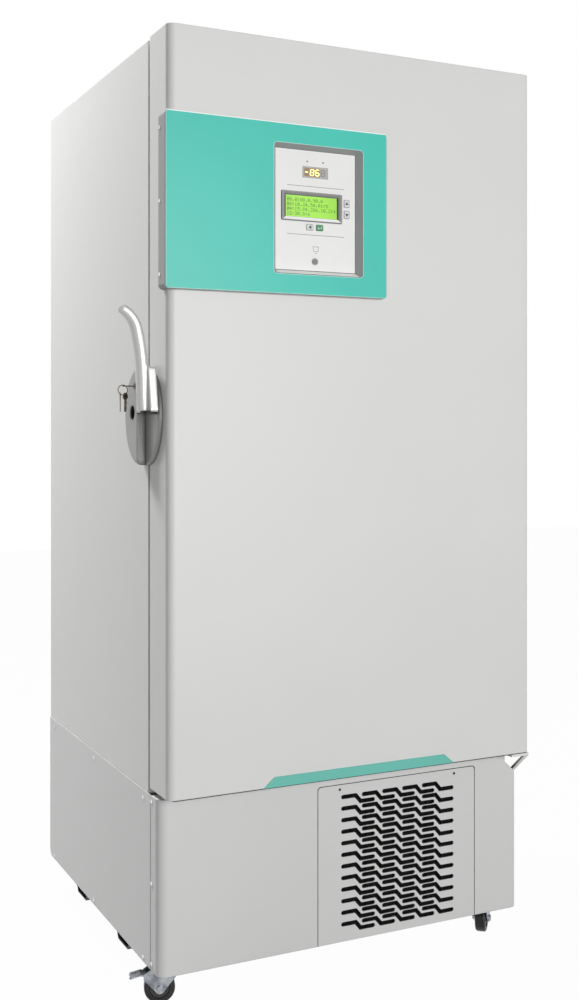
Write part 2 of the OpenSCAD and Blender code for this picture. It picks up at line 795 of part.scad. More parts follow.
// Hermetic compressor on four rubber feet: shell, foot plate and terminal box
module compressor(x, y, h) {
    z0 = pan_z + pan_t;
    r = compressor_r;
    color(dark) for (dx = [-r + 8, r - 8], dy = [-r + 20, r - 20]) rod_z([x + dx, y + dy, z0], 12, 16);
    color(dark) translate([x, y, z0 + 16]) union() {
        block([-r - 6, -r + 4, 0], [r + 6, r - 4, 4]);
        rotate_extrude() union() {
            panel([0, 4], [r * 0.8, h]);
            panel([0, 24], [r, h - 40]);
            panel([0, 4], [r * 0.92, h - 20]);
            translate([r * 0.8, h - 20]) circle(r * 0.12);
        }
        block([r * 0.7, -24, h * 0.4], [r + 16, 24, h * 0.4 + 46]);
    }
}

comp_y = frame_front + rail_span * 0.64;
comp_h = 200;
drier_in = 49;
drier_x = -(frame_x - tube - drier_in);
high_x = drier_x + 136;
low_x = 60;

module compressor_high_stage() { compressor(high_x, comp_y, comp_h + 20); }
module compressor_low_stage() { compressor(low_x, comp_y, comp_h); }

line_r = 5;
drier_y = comp_y - 210;
drier_z = base_top_z - tube - 60;

// Discharge, suction and liquid lines, with two filter driers and an oil separator
module refrigerant_lines() {
    z_line = pan_z + pan_t + 16 + comp_h * 0.75;
    tube_y = cond_y + cond_t / 2;
    high_front = comp_y - compressor_r;
    high_back = comp_y + compressor_r;
    top_z = cond_tube_z(cond_rows - 1);
    low_z = cond_tube_z(0);
    color(copper) pipe([[high_x, high_front - seat, z_line], [high_x, high_front - 60, z_line],
        [high_x, high_front - 60, top_z], [cond_x0 - 30, high_front - 60, top_z],
        [cond_x0 - 30, tube_y, top_z], [cond_x0 - 8.3, tube_y, top_z]], line_r, 16);
    color(copper) pipe([[cond_x0 - 8.3, tube_y, low_z], [cond_x0 - 34, tube_y, low_z],
        [cond_x0 - 34, drier_y, low_z], [drier_x, drier_y, low_z], [drier_x, drier_y, drier_z - 8]],
        line_r, 16);
    color(copper) pipe([[high_x, high_back + seat, z_line], [high_x, high_back + 40, z_line],
        [low_x, high_back + 40, z_line], [low_x, high_back + seat, z_line]], line_r, 16);
    color(copper) translate([drier_x, drier_y, drier_z]) rotate_extrude() union() {
        panel([0, 0], [14, 70]);
        panel([0, -8], [8, 78]);
    }
    color(zinc) translate([drier_x + 10, comp_y + 60, pan_z + pan_t]) rotate_extrude() union() {
        panel([0, 0], [34, 4]);
        panel([0, 4], [26, 190]);
        panel([0, 4], [10, 204]);
    }
}

box_x0 = 190;
box_x1 = frame_x - tube - 10;
box_y0 = frame_back - 160;
box_top = pan_z + 0.64 * (base_top_z - base_bottom_z);
lid_t = 6;

// Electrical box on the pan, its lid, two glands and the mains inlet in the rear panel
module electrical_box() {
    back = frame_back - tube - 10;
    color(shade) block([box_x0, box_y0, pan_z + pan_t], [box_x1, back, box_top]);
    color(paint) block([box_x0 - 2, box_y0 - 2, box_top], [box_x1 + 2, back + 2, box_top + lid_t]);
    color(dark) for (dx = [30, 60]) rod_y([box_x0 + dx, box_y0 - 14, pan_z + 60], 9, 14);
    color(dark) difference() {
        block([inlet_x - 24, back_y - 22, inlet_z - 16], [inlet_x + 24, back_y + 1.5, inlet_z + 16]);
        block([inlet_x - 18, back_y - 16, inlet_z - 10], [inlet_x + 18, back_y + 3, inlet_z + 10]);
    }
    color(brass) for (x = [inlet_x - 9, inlet_x, inlet_x + 9])
        block([x - 1, back_y - 16, inlet_z - 3], [x + 1, back_y - 3, inlet_z + 3]);
}

inlet_x = -280;
inlet_z = base_bottom_z + 90;

// Rear cover with two banks of upright vents
module base_rear_panel() {
    z1 = base_top_z - 0.5;
    color(paint) across(back_y - sheet_t, back_y) difference() {
        panel([-half_w + side_lip, base_bottom_z + sheet_t + 0.5], [half_w - side_lip, z1]);
        for (x0 = [-200, 40], z0 = [base_bottom_z + 60, base_bottom_z + 190], i = [0:9])
            round_panel([x0 + i * 18, z0], [x0 + i * 18 + 6, z0 + 100], 2.9);
        panel([inlet_x - 24.3, inlet_z - 16.3], [inlet_x + 24.3, inlet_z + 16.3]);
    }
}

screw_r = 4.5;
screw_h = 2;
side_screw_y = [for (k = [0.057, 0.503, 0.94]) return_y + k * (back_y - return_y)];
front_screw_z = [(base_top_z + base_bottom_z) / 2, base_bottom_z + 15];

// Screws of the side, front, grille and rear covers
module panel_screws() {
    color(zinc) for (s = [-1, 1]) {
        for (y = side_screw_y, z = [base_top_z - 16, base_bottom_z + 10])
            translate([s * base_x, y, z]) rotate([0, s * 90, 0]) screw_head(screw_r, screw_h);
        for (z = concat([base_top_z - (s < 0 ? 11 : 62)], front_screw_z))
            translate([s * base_x, return_y - 7, z]) rotate([0, s * 90, 0]) screw_head(screw_r, screw_h);
    }
    color(zinc) for (x = [grille_x0 + 52, grille_x1 - 54])
        translate([x, base_front, grille_top - 10]) rotate([90, 0, 0]) screw_head(3, 1);
    color(zinc) for (x = [-half_w + 12, 0, half_w - 12],
        z = [base_top_z + 20, (base_top_z + cab_top) / 2, cab_top - 20])
        translate([x, back_y, z]) rotate([-90, 0, 0]) screw_head(screw_r, screw_h);
    color(zinc) for (x = [-half_w + side_lip + 12, 0, half_w - side_lip - 12],
        z = [base_bottom_z + 14, base_top_z - 14])
        translate([x, back_y, z]) rotate([-90, 0, 0]) screw_head(screw_r, screw_h);
}

// Casters

plate_t = 3;
plate_z = pan_z - plate_t;
crown_z = plate_z - 4;
crown_t = 5;
stud_r = 6;
leg_t = 3;
leg_y = wheel_w / 2 + 2;
caster_x = base_x - caster_in_x;
caster_front = base_front + caster_in_y;
caster_rear = back_y - caster_in_back;
// Place and heading of each caster: front left, front right, rear left, rear right
casters = [[-caster_x, caster_front, 163], [caster_x, caster_front, 47],
    [-caster_x, caster_rear, 30], [caster_x, caster_rear, 30]];

module at_caster(i) { translate([casters[i][0], casters[i][1], 0]) rotate([0, 0, casters[i][2]]) children(); }

// Top plates bolted to the pan, each with the stud that its fork turns on
module caster_plates() {
    color(zinc) for (c = casters) translate([c[0], c[1], 0]) union() {
        upright(plate_z, pan_z) round_panel([-34, -34], [34, 34], 6);
        rod_z([0, 0, crown_z + crown_t - 1.2], 14, plate_z - crown_z - crown_t + 1.2);
        rod_z([0, 0, crown_z - 7], stud_r, 12);
        rod_z([0, 0, crown_z - 10], 9, 3);
        for (x = [-25, 25], y = [-25, 25]) translate([x, y, plate_z]) mirror([0, 0, 1]) screw_head(5, 3);
    }
}

// Swivel fork: a crown on the stud, two tapered legs and the axle; braked forks have ears for the pedal
module fork(braked) {
    ear_x = braked ? pedal_x + 5 : 14;
    color(zinc) difference() {
        union() {
            rod_z([0, 0, crown_z - 5], 25, 5);
            upright(crown_z - 5, crown_z - 2) round_panel([-10, -leg_y - leg_t], [trail + 6, leg_y + leg_t], 4);
            for (s = [-1, 1]) across(s * leg_y - (s < 0 ? leg_t : 0), s * leg_y + (s > 0 ? leg_t : 0)) union() {
                polygon([[-16, crown_z - 2], [trail + 14, crown_z - 2], [trail + ear_x, pedal_z + 5],
                    [trail + ear_x, pedal_z - 5], [trail + 9, wheel_r - 4], [trail - 9, wheel_r - 4],
                    [-6, crown_z - 22]]);
                translate([trail, wheel_r]) circle(10);
            }
            rod_y([trail, -leg_y - leg_t - 4, wheel_r], axle_r, 2 * (leg_y + leg_t + 4));
            for (y = [-leg_y - leg_t - 4, leg_y + leg_t]) rod_y([trail, y, wheel_r], 7, 4);
            if (braked) rod_y([trail + pedal_x, -leg_y - e, pedal_z], pedal_pin_r, 2 * leg_y + 2 * e);
        }
        rod_z([0, 0, crown_z - 6], stud_r + fit, 8);
    }
}

pedal_x = wheel_r - 4;
pedal_z = wheel_r + 25;
pedal_pin_r = 2.5;

// Wheel with a rounded tread, dished sides and a bored hub
module wheel() {
    w = wheel_w / 2;
    color(dark) translate([trail, 0, wheel_r]) rotate([90, 0, 0]) rotate_extrude() difference() {
        union() {
            panel([0, -w], [wheel_r - 5, w]);
            panel([0, -w + 5], [wheel_r, w - 5]);
            for (y = [-w + 5, w - 5]) translate([wheel_r - 5, y]) circle(5);
            panel([0, -w - 1.5], [9, w + 1.5]);
        }
        panel([-e, -w - 3], [axle_r + fit, w + 3]);
        panel([12, w - 3], [wheel_r - 11, w + 2]);
        panel([12, -w - 2], [wheel_r - 11, 3 - w]);
    }
}

// Brake pedal: a pressed plate with two prongs, on the pin between the fork's ears
module pedal() {
    color(zinc) translate([trail + pedal_x, 0, pedal_z]) difference() {
        union() {
            rod_y([0, -leg_y + 1, 0], pedal_pin_r + 2, 2 * (leg_y - 1));
            across(-leg_y + 1, leg_y - 1)
                polygon([[0, 0.5], [0, 4.5], [12, 6], [32, 1], [34, -2], [31, -3], [12, 2.5]]);
        }
        rod_y([0, -leg_y, 0], pedal_pin_r + fit, 2 * leg_y);
        upright(-8, 12) panel([20, -4], [36, 4]);
    }
}

module caster_fork_front_left() { at_caster(0) fork(true); }
module caster_fork_front_right() { at_caster(1) fork(true); }
module caster_fork_rear_left() { at_caster(2) fork(false); }
module caster_fork_rear_right() { at_caster(3) fork(false); }
module caster_wheel_front_left() { at_caster(0) wheel(); }
module caster_wheel_front_right() { at_caster(1) wheel(); }
module caster_wheel_rear_left() { at_caster(2) wheel(); }
module caster_wheel_rear_right() { at_caster(3) wheel(); }
module brake_pedal_left() { at_caster(0) pedal(); }
module brake_pedal_right() { at_caster(1) pedal(); }

// Hinges

hinge_x = half_w - hinge_in_x;
hinge_y = door_back - hinge_in_y;
bush_r = pin_r + 5;
arm_x0 = hinge_x - 21;
arm_x1 = half_w - 1;
arm_t = 6;
arm_top = door_z0 - 2.5;
arm_z = arm_top - arm_t;
brace_w = 10;
brace_low = base_top_z - 90;
foot_y = frame_front - 5;
top_arm_z = total_h + 0.6;

module hinge_brackets() {
    color(paint) union() {
        block([arm_x0, front_y + 4, arm_z], [arm_x1, frame_front, arm_top]);
        block([notch_x + 2, foot_y, base_top_z - 100], [arm_x1, frame_front, arm_top]);
        sideways(arm_x1 - brace_w, arm_x1) polygon([[front_y + 4, arm_z], [front_y + 4, arm_top],
            [front_y + 13, arm_z], [foot_y + 2, brace_low + 8], [foot_y + 2, brace_low]]);
        rod_z([hinge_x, hinge_y, arm_z], pin_r, arm_t + bush_l - 2);
    }
    color(paint) union() {
        block([hinge_x - 24, cab_front + 4, cab_top], [hinge_x + 22, cab_front + 74, top_arm_z]);
        block([hinge_x - 24, hinge_y, top_arm_z], [hinge_x + 22, cab_front + 74, top_arm_z + arm_t]);
        rod_z([hinge_x, hinge_y, top_arm_z], 20, arm_t);
        rod_z([hinge_x, hinge_y, total_h - bush_l + 2], pin_r, bush_l);
        for (dx = [-12, 10], dy = [20, 56])
            translate([hinge_x + dx, cab_front + dy, top_arm_z + arm_t]) screw_head(5, 2);
    }
}

module door_hinge_bushes() {
    color(plastic) difference() {
        union() {
            rod_z([hinge_x, hinge_y, door_z0], bush_r, bush_l);
            rod_z([hinge_x, hinge_y, arm_top + seat], bush_r + 4, door_z0 - arm_top - seat);
            rod_z([hinge_x, hinge_y, total_h - bush_l], bush_r, bush_l + seat);
        }
        rod_z([hinge_x, hinge_y, arm_top - e], pin_r + fit, bush_l + 4);
        rod_z([hinge_x, hinge_y, total_h - bush_l - e], pin_r + fit, bush_l + 3);
    }
}

// Door

panel_x0 = -half_w - panel_side;
panel_x1 = panel_x0 + panel_w;
fascia_x0 = panel_x1 - fascia_in - fascia_w;
fascia_z0 = panel_z + fascia_up;
fascia_lo = [fascia_x0, fascia_z0];
fascia_hi = fascia_lo + [fascia_w, fascia_h];
fascia_mid = (fascia_lo + fascia_hi) / 2;
fascia_y = front_y + fascia_back;
well_wall = 2.5;
well_depth = fascia_back + fascia_t;
aperture = well_wall + recess_flare * well_depth / (well_depth + panel_proud - 2) + 0.5;
well_back = 24;
shaft_y = door_back - lever_in;

// Door's plan: round front edges, square back edges
module door_plan(inset) {
    cradle([-half_w + inset, front_y + inset], [half_w - inset, door_back], door_edge_r - inset);
}

module door_skin() {
    color(paint) difference() {
        upright(door_z0, total_h) door_plan(0);
        upright(door_z0 + sheet_t, total_h - sheet_t) difference() {
            door_plan(sheet_t);
            panel([-half_w, door_back - sheet_t], [half_w, door_back + e]);
        }
        block([-half_w + door_fold_w, door_back - 2 * sheet_t, door_z0 + door_fold_w],
            [half_w - door_fold_w, door_back + e, total_h - door_fold_w]);
        across(front_y - e, front_y + sheet_t + e)
            panel(fascia_lo - [aperture, aperture], fascia_hi + [aperture, aperture]);
        rod_x([-half_w - e, shaft_y, lever_z], shaft_r + 2, sheet_t + 2 * e);
        rod_z([hinge_x, hinge_y, door_z0 - e], bush_r + seat, sheet_t + 2 * e);
        rod_z([hinge_x, hinge_y, total_h - sheet_t - e], bush_r + seat, sheet_t + 2 * e);
    }
}

module door_insulation() {
    color(foam) difference() {
        upright(door_z0 + sheet_t + 0.5, total_h - sheet_t - 0.5) difference() {
            door_plan(sheet_t + 0.5);
            panel([-half_w, door_back - sheet_t - 0.5], [half_w, door_back + e]);
        }
        rod_x([-half_w, shaft_y, lever_z], shaft_r + 2, 12);
        across(front_y, front_y + fascia_back + well_back + 4)
            panel(fascia_lo - [aperture, aperture], fascia_hi + [aperture, aperture]);
        rod_z([hinge_x, hinge_y, door_z0], bush_r + seat, bush_l + 2);
        rod_z([hinge_x, hinge_y, total_h - bush_l - 2], bush_r + seat, bush_l + 2);
    }
}

// Inner face of the door: a flat pan with a raised middle
module door_liner() {
    in = door_fold_w + 4;
    plug_x = throat_x - plug_clear;
    color(plastic) union() {
        block([-half_w + in, door_back, door_z0 + in], [half_w - in, door_back + 2, total_h - in]);
        across(door_back + 1, door_back + plug_depth)
            round_panel([-plug_x, throat_z0 + plug_clear], [plug_x, throat_z1 - plug_clear], 24);
    }
}

module door_gasket() {
    color(dark) union() {
        frame([-half_w + gasket_inset, door_z0 + gasket_inset], [half_w - gasket_inset, total_h - gasket_inset],
            gasket_w, door_back + 2, door_back + 5);
        frame([-half_w + gasket_inset + 2, door_z0 + gasket_inset + 2],
            [half_w - gasket_inset - 2, total_h - gasket_inset - 2],
            gasket_w - 6, door_back + 5, cab_front - seat);
    }
}

// Control housing: a moulded tray round the door's left edge, with a flared well for the fascia
module control_housing() {
    y0 = front_y - panel_proud + 1;
    y1 = front_y + panel_return;
    color(shade) difference() {
        union() {
            difference() {
                across(y0, y1) round_panel([panel_x0, panel_z], [panel_x1, panel_top], panel_r);
                block([panel_x0 + panel_wall, y0 + panel_wall, panel_z + panel_wall],
                    [panel_x1 - panel_wall, y1 + e, panel_top - panel_wall]);
                upright(panel_z - e, panel_top + e) difference() {
                    panel([-half_w - seat, front_y - seat], [panel_x1 + e, y1 + e]);
                    panel([-half_w - 2 * e, front_y - e], [-half_w + 4, front_y + 4]);
                }
                upright(panel_z - e, panel_top + e) translate([-half_w + door_edge_r, front_y + door_edge_r])
                    circle(door_edge_r + seat);
            }
            hull() {
                across(y0, y0 + 1) panel(mouth_lo - [well_wall, well_wall], mouth_hi + [well_wall, well_wall]);
                across(fascia_y, fascia_y + fascia_t)
                    panel(fascia_lo - [well_wall, well_wall], fascia_hi + [well_wall, well_wall]);
            }
        }
        hull() {
            across(y0 - e, y0 + 0.1) round_panel(mouth_lo, mouth_hi, 8);
            across(fascia_y - 0.1, fascia_y) panel(fascia_lo, fascia_hi);
        }
        across(fascia_y - e, fascia_y + fascia_t + e) panel(fascia_lo - [0.1, 0.1], fascia_hi + [0.1, 0.1]);
    }
}

mouth_lo = fascia_lo - [recess_flare, recess_flare];
mouth_hi = fascia_hi + [recess_flare, recess_flare_top];

// Coloured sheet on the control housing's face
module control_overlay() {
    y0 = front_y - panel_proud;
    color(teal) across(y0, y0 + 1) difference() {
        round_panel([panel_x0 + 1.5, panel_z + 1.5], [panel_x1 - 1.5, panel_top - 1.5], panel_r - 1.5);
        round_panel(mouth_lo - [0.5, 0.5], mouth_hi + [0.5, 0.5], 8.5);
    }
}

led_size = [60, 24];
led_at = fascia_mid + [-1, 80];
lcd_size = [140, 60];
lcd_at = fascia_mid + [-9, 8];
window_size = [121, 44];
cap_tall = [13, 16];
cap_wide = [16, 12.5];
up_at = fascia_mid + [73, 21];
down_at = fascia_mid + [73, -2];
back_at = fascia_mid + [-14, -34];
enter_at = fascia_mid + [9, -34];
sounder_at = fascia_mid + [-2, -105];
lamps_at = [fascia_mid + [-20, 102], fascia_mid + [17, 102]];
cap_gap = 0.4;

module centred(at, size, grow) { panel(at - size / 2 - [grow, grow], at + size / 2 + [grow, grow]); }
module centred_round(at, size, grow, r) {
    round_panel(at - size / 2 - [grow, grow], at + size / 2 + [grow, grow], r);
}

module control_fascia() {
    color(plastic) across(fascia_y, fascia_y + fascia_t) difference() {
        panel(fascia_lo, fascia_hi);
        centred(led_at, led_size, 0);
        centred(lcd_at, lcd_size, -4);
        for (at = [up_at, down_at]) centred_round(at, cap_tall, cap_gap, 2.4);
        for (at = [back_at, enter_at]) centred_round(at, cap_wide, cap_gap, 2.4);
        for (at = lamps_at) translate(at) circle(2);
        translate(sounder_at) circle(6.6);
    }
}

// Liquid crystal module: raised bezel with a sloped opening, glass and circuit board
module lcd_screen() {
    color(silver) difference() {
        across(fascia_y - 3, fascia_y) centred_round(lcd_at, lcd_size, 0, 2);
        hull() {
            across(fascia_y - 3 - e, fascia_y - 2.9) centred(lcd_at, window_size, 6);
            across(fascia_y - 0.1, fascia_y + e) centred(lcd_at, window_size, 0);
        }
    }
    color([0.55, 0.82, 0.2]) across(fascia_y, fascia_y + fascia_t) centred(lcd_at, window_size, 0);
    color([0.1, 0.4, 0.25]) across(fascia_y + fascia_t, fascia_y + fascia_t + 8) centred(lcd_at, lcd_size, -4);
}

// Numeric display window, two lamps, the alarm sounder and the board that carries them
module led_display() {
    y1 = fascia_y + fascia_t;
    color([0.45, 0.4, 0.35]) across(fascia_y + 0.5, y1 + 10) centred(led_at, led_size, 0);
    color("red") for (at = lamps_at) across(fascia_y - 0.5, y1 + 10) translate(at) circle(2);
    color(shade) translate([sounder_at[0], fascia_y, sounder_at[1]]) rotate([90, 0, 0]) screw_head(6.5, 2);
    color(shade) rod_y([sounder_at[0], fascia_y, sounder_at[1]], 6.5, fascia_t + 10);
    color([0.1, 0.4, 0.25]) across(y1 + 10, y1 + 12) panel(fascia_lo + [6, 6], fascia_hi - [6, 6]);
}

// Button: a rounded cap in its opening and a stem towards the switch on the board behind
stem_gap = 1.3;

module button_cap(at, size) {
    color(shade) union() {
        across(fascia_y - button_proud, fascia_y + 6) centred_round(at, size, 0, 2);
        rod_y([at[0], fascia_y + 6, at[1]], 2, fascia_t + 4 - stem_gap);
    }
}

module button_up() { button_cap(up_at, cap_tall); }
module button_down() { button_cap(down_at, cap_tall); }
module button_back() { button_cap(back_at, cap_wide); }
module button_enter() { button_cap(enter_at, cap_wide); }

module bezel_screws() {
    color(zinc) for (z = [panel_z + 30, panel_z + panel_h / 2, panel_top - 30])
        translate([panel_x0, front_y + panel_return - 8, z]) rotate([0, -90, 0]) screw_head(4, 1.8);
}

module door_trim() {
    w = trim_w / 2;
    color(teal) across(front_y - 1.5, front_y) polygon([[-w, door_z0], [w, door_z0],
        [w - trim_slope, door_z0 + trim_h], [-w + trim_slope, door_z0 + trim_h]]);
}

// Latch

cavity_t = latch_t - 2;
tongue_w = 12;
tongue_x = -half_w - 1.2;
tongue_t = 3.6;
foot_x = -half_w - latch_t - 1;
arm_sink = 9;
arm_in = foot_x - foot_t + arm_sink;
keeper_r = 4;
plug_r = 6;
lock_y = cab_front + lock_in;
slot_top = lever_z + tongue_l * 0.9;

// Half of the oval on the door: a shell with a bore for the lever's shaft
module latch_housing() {
    color(silver) difference() {
        intersection() {
            oval_dome(latch_t, 6);
            block([-half_w - latch_t - e, oval_y - oval_w, oval_z - oval_h],
                [-half_w, oval_y - parting / 2, oval_z + oval_h]);
        }
        sideways(-half_w - cavity_t, -half_w + e) intersection() {
            polygon(oval(oval_wall + 1.5));
            panel([oval_y - oval_w, oval_z - oval_h], [oval_y, oval_z + oval_h]);
        }
        rod_x([-half_w - latch_t - e, shaft_y, lever_z], shaft_r + fit, latch_t + 2 * e);
    }
}

// Half of the oval on the cabinet: keeper pin, lock boss and a round recess
module keeper_housing() {
    y0 = oval_y + parting / 2;
    color(silver) difference() {
        union() {
            difference() {
                intersection() {
                    oval_dome(keeper_t, 9);
                    block([-half_w - keeper_t - e, y0, oval_z - oval_h],
                        [-half_w, oval_y + oval_w, oval_z + oval_h]);
                }
                sideways(-half_w - keeper_t + oval_wall, -half_w + e) intersection() {
                    polygon(oval(oval_wall + 1.5));
                    panel([y0 + oval_wall, oval_z - oval_h], [oval_y + oval_w, oval_z + oval_h]);
                }
            }
            rod_x([-half_w - keeper_t + e, lock_y, lock_z], 12, keeper_t - 10 - e);
            rod_x([-half_w - keeper_t + e, recess_y, recess_z], recess_r + 2.5, 13);
        }
        block([-half_w - 12, y0 - e, lever_z - tongue_w / 2 - 3], [-half_w + e, y0 + oval_wall + e, slot_top]);
        rod_x([-half_w - keeper_t - e, lock_y, lock_z], plug_r + fit, keeper_t);
        rod_x([-half_w - keeper_t - e, recess_y, recess_z], recess_r, 12);
    }
    color(steel) rod_x([-half_w - 20, cab_front + 7, lever_z - tongue_w / 2 - keeper_r - 0.6], keeper_r, 20);
}

recess_r = 15;
recess_y = cab_front + 25;
recess_z = oval_z + 7;

// Stations along the lever's arm: straight, then swaying out, then bent away from the freezer to a round tip
arm_lean = 2;
arm_foot = 80;
sway_r = 450;
function arc_from(p, a, r, s) = let (b = a + s / r * 180 / PI) p + r * [cos(b) - cos(a), sin(b) - sin(a)];
arm_knee = arm_foot * [-sin(arm_lean), cos(arm_lean)];
arm_neck = arc_from(arm_knee, arm_lean, sway_r, lever_l - arm_foot);
neck_lean = arm_lean + (lever_l - arm_foot) / sway_r * 180 / PI;
function arm_at(s) = s < arm_foot ? s * [-sin(arm_lean), cos(arm_lean)]
    : s < lever_l ? arc_from(arm_knee, arm_lean, sway_r, s - arm_foot)
    : arc_from(arm_neck, neck_lean, bend_r, s - lever_l);
arm_end = lever_l + bend_r * bend_a * PI / 180;
arm_taper = 0.3;
arm_steps = 22;
tip_steps = 4;
function arm_station(s, k) = let (p = arm_at(s), q = arm_at(s + 0.5), d = q - p)
    [[arm_in - lever_t / 2 + p[0], shaft_y, lever_z - 9 + p[1]], unit([d[0], 0, d[1]]),
        lever_w / 2 * k, lever_t / 2 * k];
function tip_scale(i) = sqrt(1 - pow(i / (tip_steps + 0.4), 2));

// Outline of the foot from the side, wider at its lower end
foot_h = 93;
foot_front = [36, 22];
foot_rear = 17;
foot_r = 7;
module foot_outline() {
    lo = lever_z - 9;
    intersection() {
        round_panel([shaft_y - foot_front[0], lo], [shaft_y + foot_rear, lo + foot_h], foot_r);
        polygon([[shaft_y - foot_front[0], lo - e], [shaft_y + foot_rear + e, lo - e],
            [shaft_y + foot_rear + e, lo + foot_h + e], [shaft_y - foot_front[1] + foot_r / 2, lo + foot_h + e],
            [shaft_y - foot_front[1], lo + foot_h - foot_r]]);
    }
}

module latch_lever() {
    color(silver) swept(concat(
        [arm_station(0, 0.8), arm_station(2, 0.95), arm_station(4, 1)],
        [for (i = [1:arm_steps])
            arm_station(4 + i * (arm_end - 14) / arm_steps, 1 - arm_taper * pow(i / arm_steps, 6))],
        [for (i = [1:tip_steps])
            arm_station(arm_end - 10 + i * 9.5 / tip_steps, (1 - arm_taper) * tip_scale(i))]), 20);
    color(silver) sideways(foot_x - foot_t, foot_x) foot_outline();
    color(steel) rod_x([foot_x - 1, shaft_y, lever_z], shaft_r, latch_t + 1 + 1 + 8);
    color(steel) sideways(tongue_x - tongue_t, tongue_x) union() {
        translate([shaft_y, lever_z]) circle(12);
        panel([shaft_y, lever_z - tongue_w / 2], [shaft_y + tongue_l - tongue_w / 2, lever_z + tongue_w / 2]);
        translate([shaft_y + tongue_l - tongue_w / 2, lever_z]) circle(tongue_w / 2);
    }
}

key_face = -half_w - keeper_t - 1;
bow_r = 9;
bow_x = key_face - 16;
bow_t = 2;
eye_r = 5.2;
eye_rim = 1.2;
ring_r = 10;
wire_r = 0.9;
ring_slack = 0.25;
ring_x = bow_x - bow_r + eye_rim / 2;

// Lock plug with its key in it: the blade lies flat and the bow has a hole for the ring
module lock_key() {
    color(brass) union() {
        rod_x([key_face, lock_y, lock_z], plug_r, 12);
        block([key_face - 9, lock_y - 4, lock_z - bow_t / 2], [key_face + 1, lock_y + 4, lock_z + bow_t / 2]);
        difference() {
            rod_z([bow_x, lock_y, lock_z - bow_t / 2], bow_r, bow_t);
            rod_z([bow_x - bow_r + eye_rim + eye_r, lock_y, lock_z - bow_t], eye_r, 2 * bow_t);
        }
    }
}

// Ring through the key's bow, with two spare keys hanging from it
module key_ring() {
    z = lock_z + bow_t / 2 + wire_r + ring_slack - ring_r;
    color(steel) translate([ring_x, lock_y, z]) rotate([90, 0, 0])
        rotate_extrude() translate([ring_r, 0]) circle(wire_r, $fn = 24);
    for (s = [-1, 1]) {
        a = -90 + s * 32;
        color(brass) translate([ring_x + ring_r * cos(a), lock_y, z + ring_r * sin(a)])
            rotate([0, 0, s * 20]) spare_key();
    }
}

// Spare key that hangs from a hole near the top of its bow
module spare_key() {
    sideways(-0.9, 0.9) difference() {
        union() {
            translate([0, -4.5]) circle(7.5);
            panel([-2.6, -36], [2.6, -10]);
            panel([-4, -20], [0, -14]);
            panel([-3.6, -30], [0, -26]);
        }
        circle(2);
    }
}

cabinet_shell();
cabinet_back_panel();
cabinet_insulation();
inner_liner();
throat_frame();
inner_door_hinges();
evaporator_coil();
shelves();
access_port();
base_frame();
cross_rails();
base_side_panels();
base_front_panel();
grille_panel();
base_rear_panel();
air_filter();
condenser();
fan_shroud();
fan_motor();
fan_rotor();
compressor_high_stage();
compressor_low_stage();
refrigerant_lines();
electrical_box();
panel_screws();
caster_plates();
hinge_brackets();
keeper_housing();
lock_key();
key_ring();
door_skin();
door_insulation();
door_liner();
door_gasket();
door_hinge_bushes();
control_housing();
control_overlay();
control_fascia();
lcd_screen();
led_display();
bezel_screws();
door_trim();
latch_housing();
latch_lever();
button_up();
button_down();
button_back();
button_enter();
inner_door_upper();
inner_door_lower();
caster_fork_front_left();
caster_fork_front_right();
caster_fork_rear_left();
caster_fork_rear_right();
caster_wheel_front_left();
caster_wheel_front_right();
caster_wheel_rear_left();
caster_wheel_rear_right();
brake_pedal_left();
brake_pedal_right();
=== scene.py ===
import logging
import math
from dataclasses import dataclass
from enum import Enum
from typing import Any, Callable, Iterable, Sequence

import bmesh
import bpy
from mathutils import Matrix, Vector


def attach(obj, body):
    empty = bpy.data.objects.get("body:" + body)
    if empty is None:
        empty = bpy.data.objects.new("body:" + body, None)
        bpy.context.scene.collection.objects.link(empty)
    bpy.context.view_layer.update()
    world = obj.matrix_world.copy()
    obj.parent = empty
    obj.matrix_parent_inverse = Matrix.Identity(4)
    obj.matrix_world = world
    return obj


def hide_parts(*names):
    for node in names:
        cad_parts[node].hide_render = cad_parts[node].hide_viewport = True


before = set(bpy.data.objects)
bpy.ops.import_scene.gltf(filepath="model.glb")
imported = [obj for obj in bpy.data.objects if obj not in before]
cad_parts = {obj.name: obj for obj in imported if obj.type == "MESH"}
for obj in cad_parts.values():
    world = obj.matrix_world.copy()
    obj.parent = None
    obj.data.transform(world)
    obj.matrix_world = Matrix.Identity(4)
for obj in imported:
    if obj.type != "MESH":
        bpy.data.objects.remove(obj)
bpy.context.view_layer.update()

log = logging.getLogger("freezer")
MM = 0.001
Point = tuple[float, float]
Place = tuple[float, float, float]
Box = tuple[float, float, float, float]
Colour = tuple[float, float, float]


def tone(red: float, green: float, blue: float) -> Colour:
    """Turns a screen colour into scene light.

    Args:
        red: Red from 0 to 255.
        green: Green from 0 to 255.
        blue: Blue from 0 to 255.

    Returns:
        The three values as linear light.
    """
    def linear(v: float) -> float:
        """Undoes the screen curve of one value."""
        v /= 255
        return v / 12.92 if v <= 0.04045 else ((v + 0.055) / 1.055) ** 2.4

    return linear(red), linear(green), linear(blue)


def shaded(colour: Colour, k: float) -> Colour:
    """Returns the colour, k times as light."""
    return colour[0] * k, colour[1] * k, colour[2] * k


# Materials


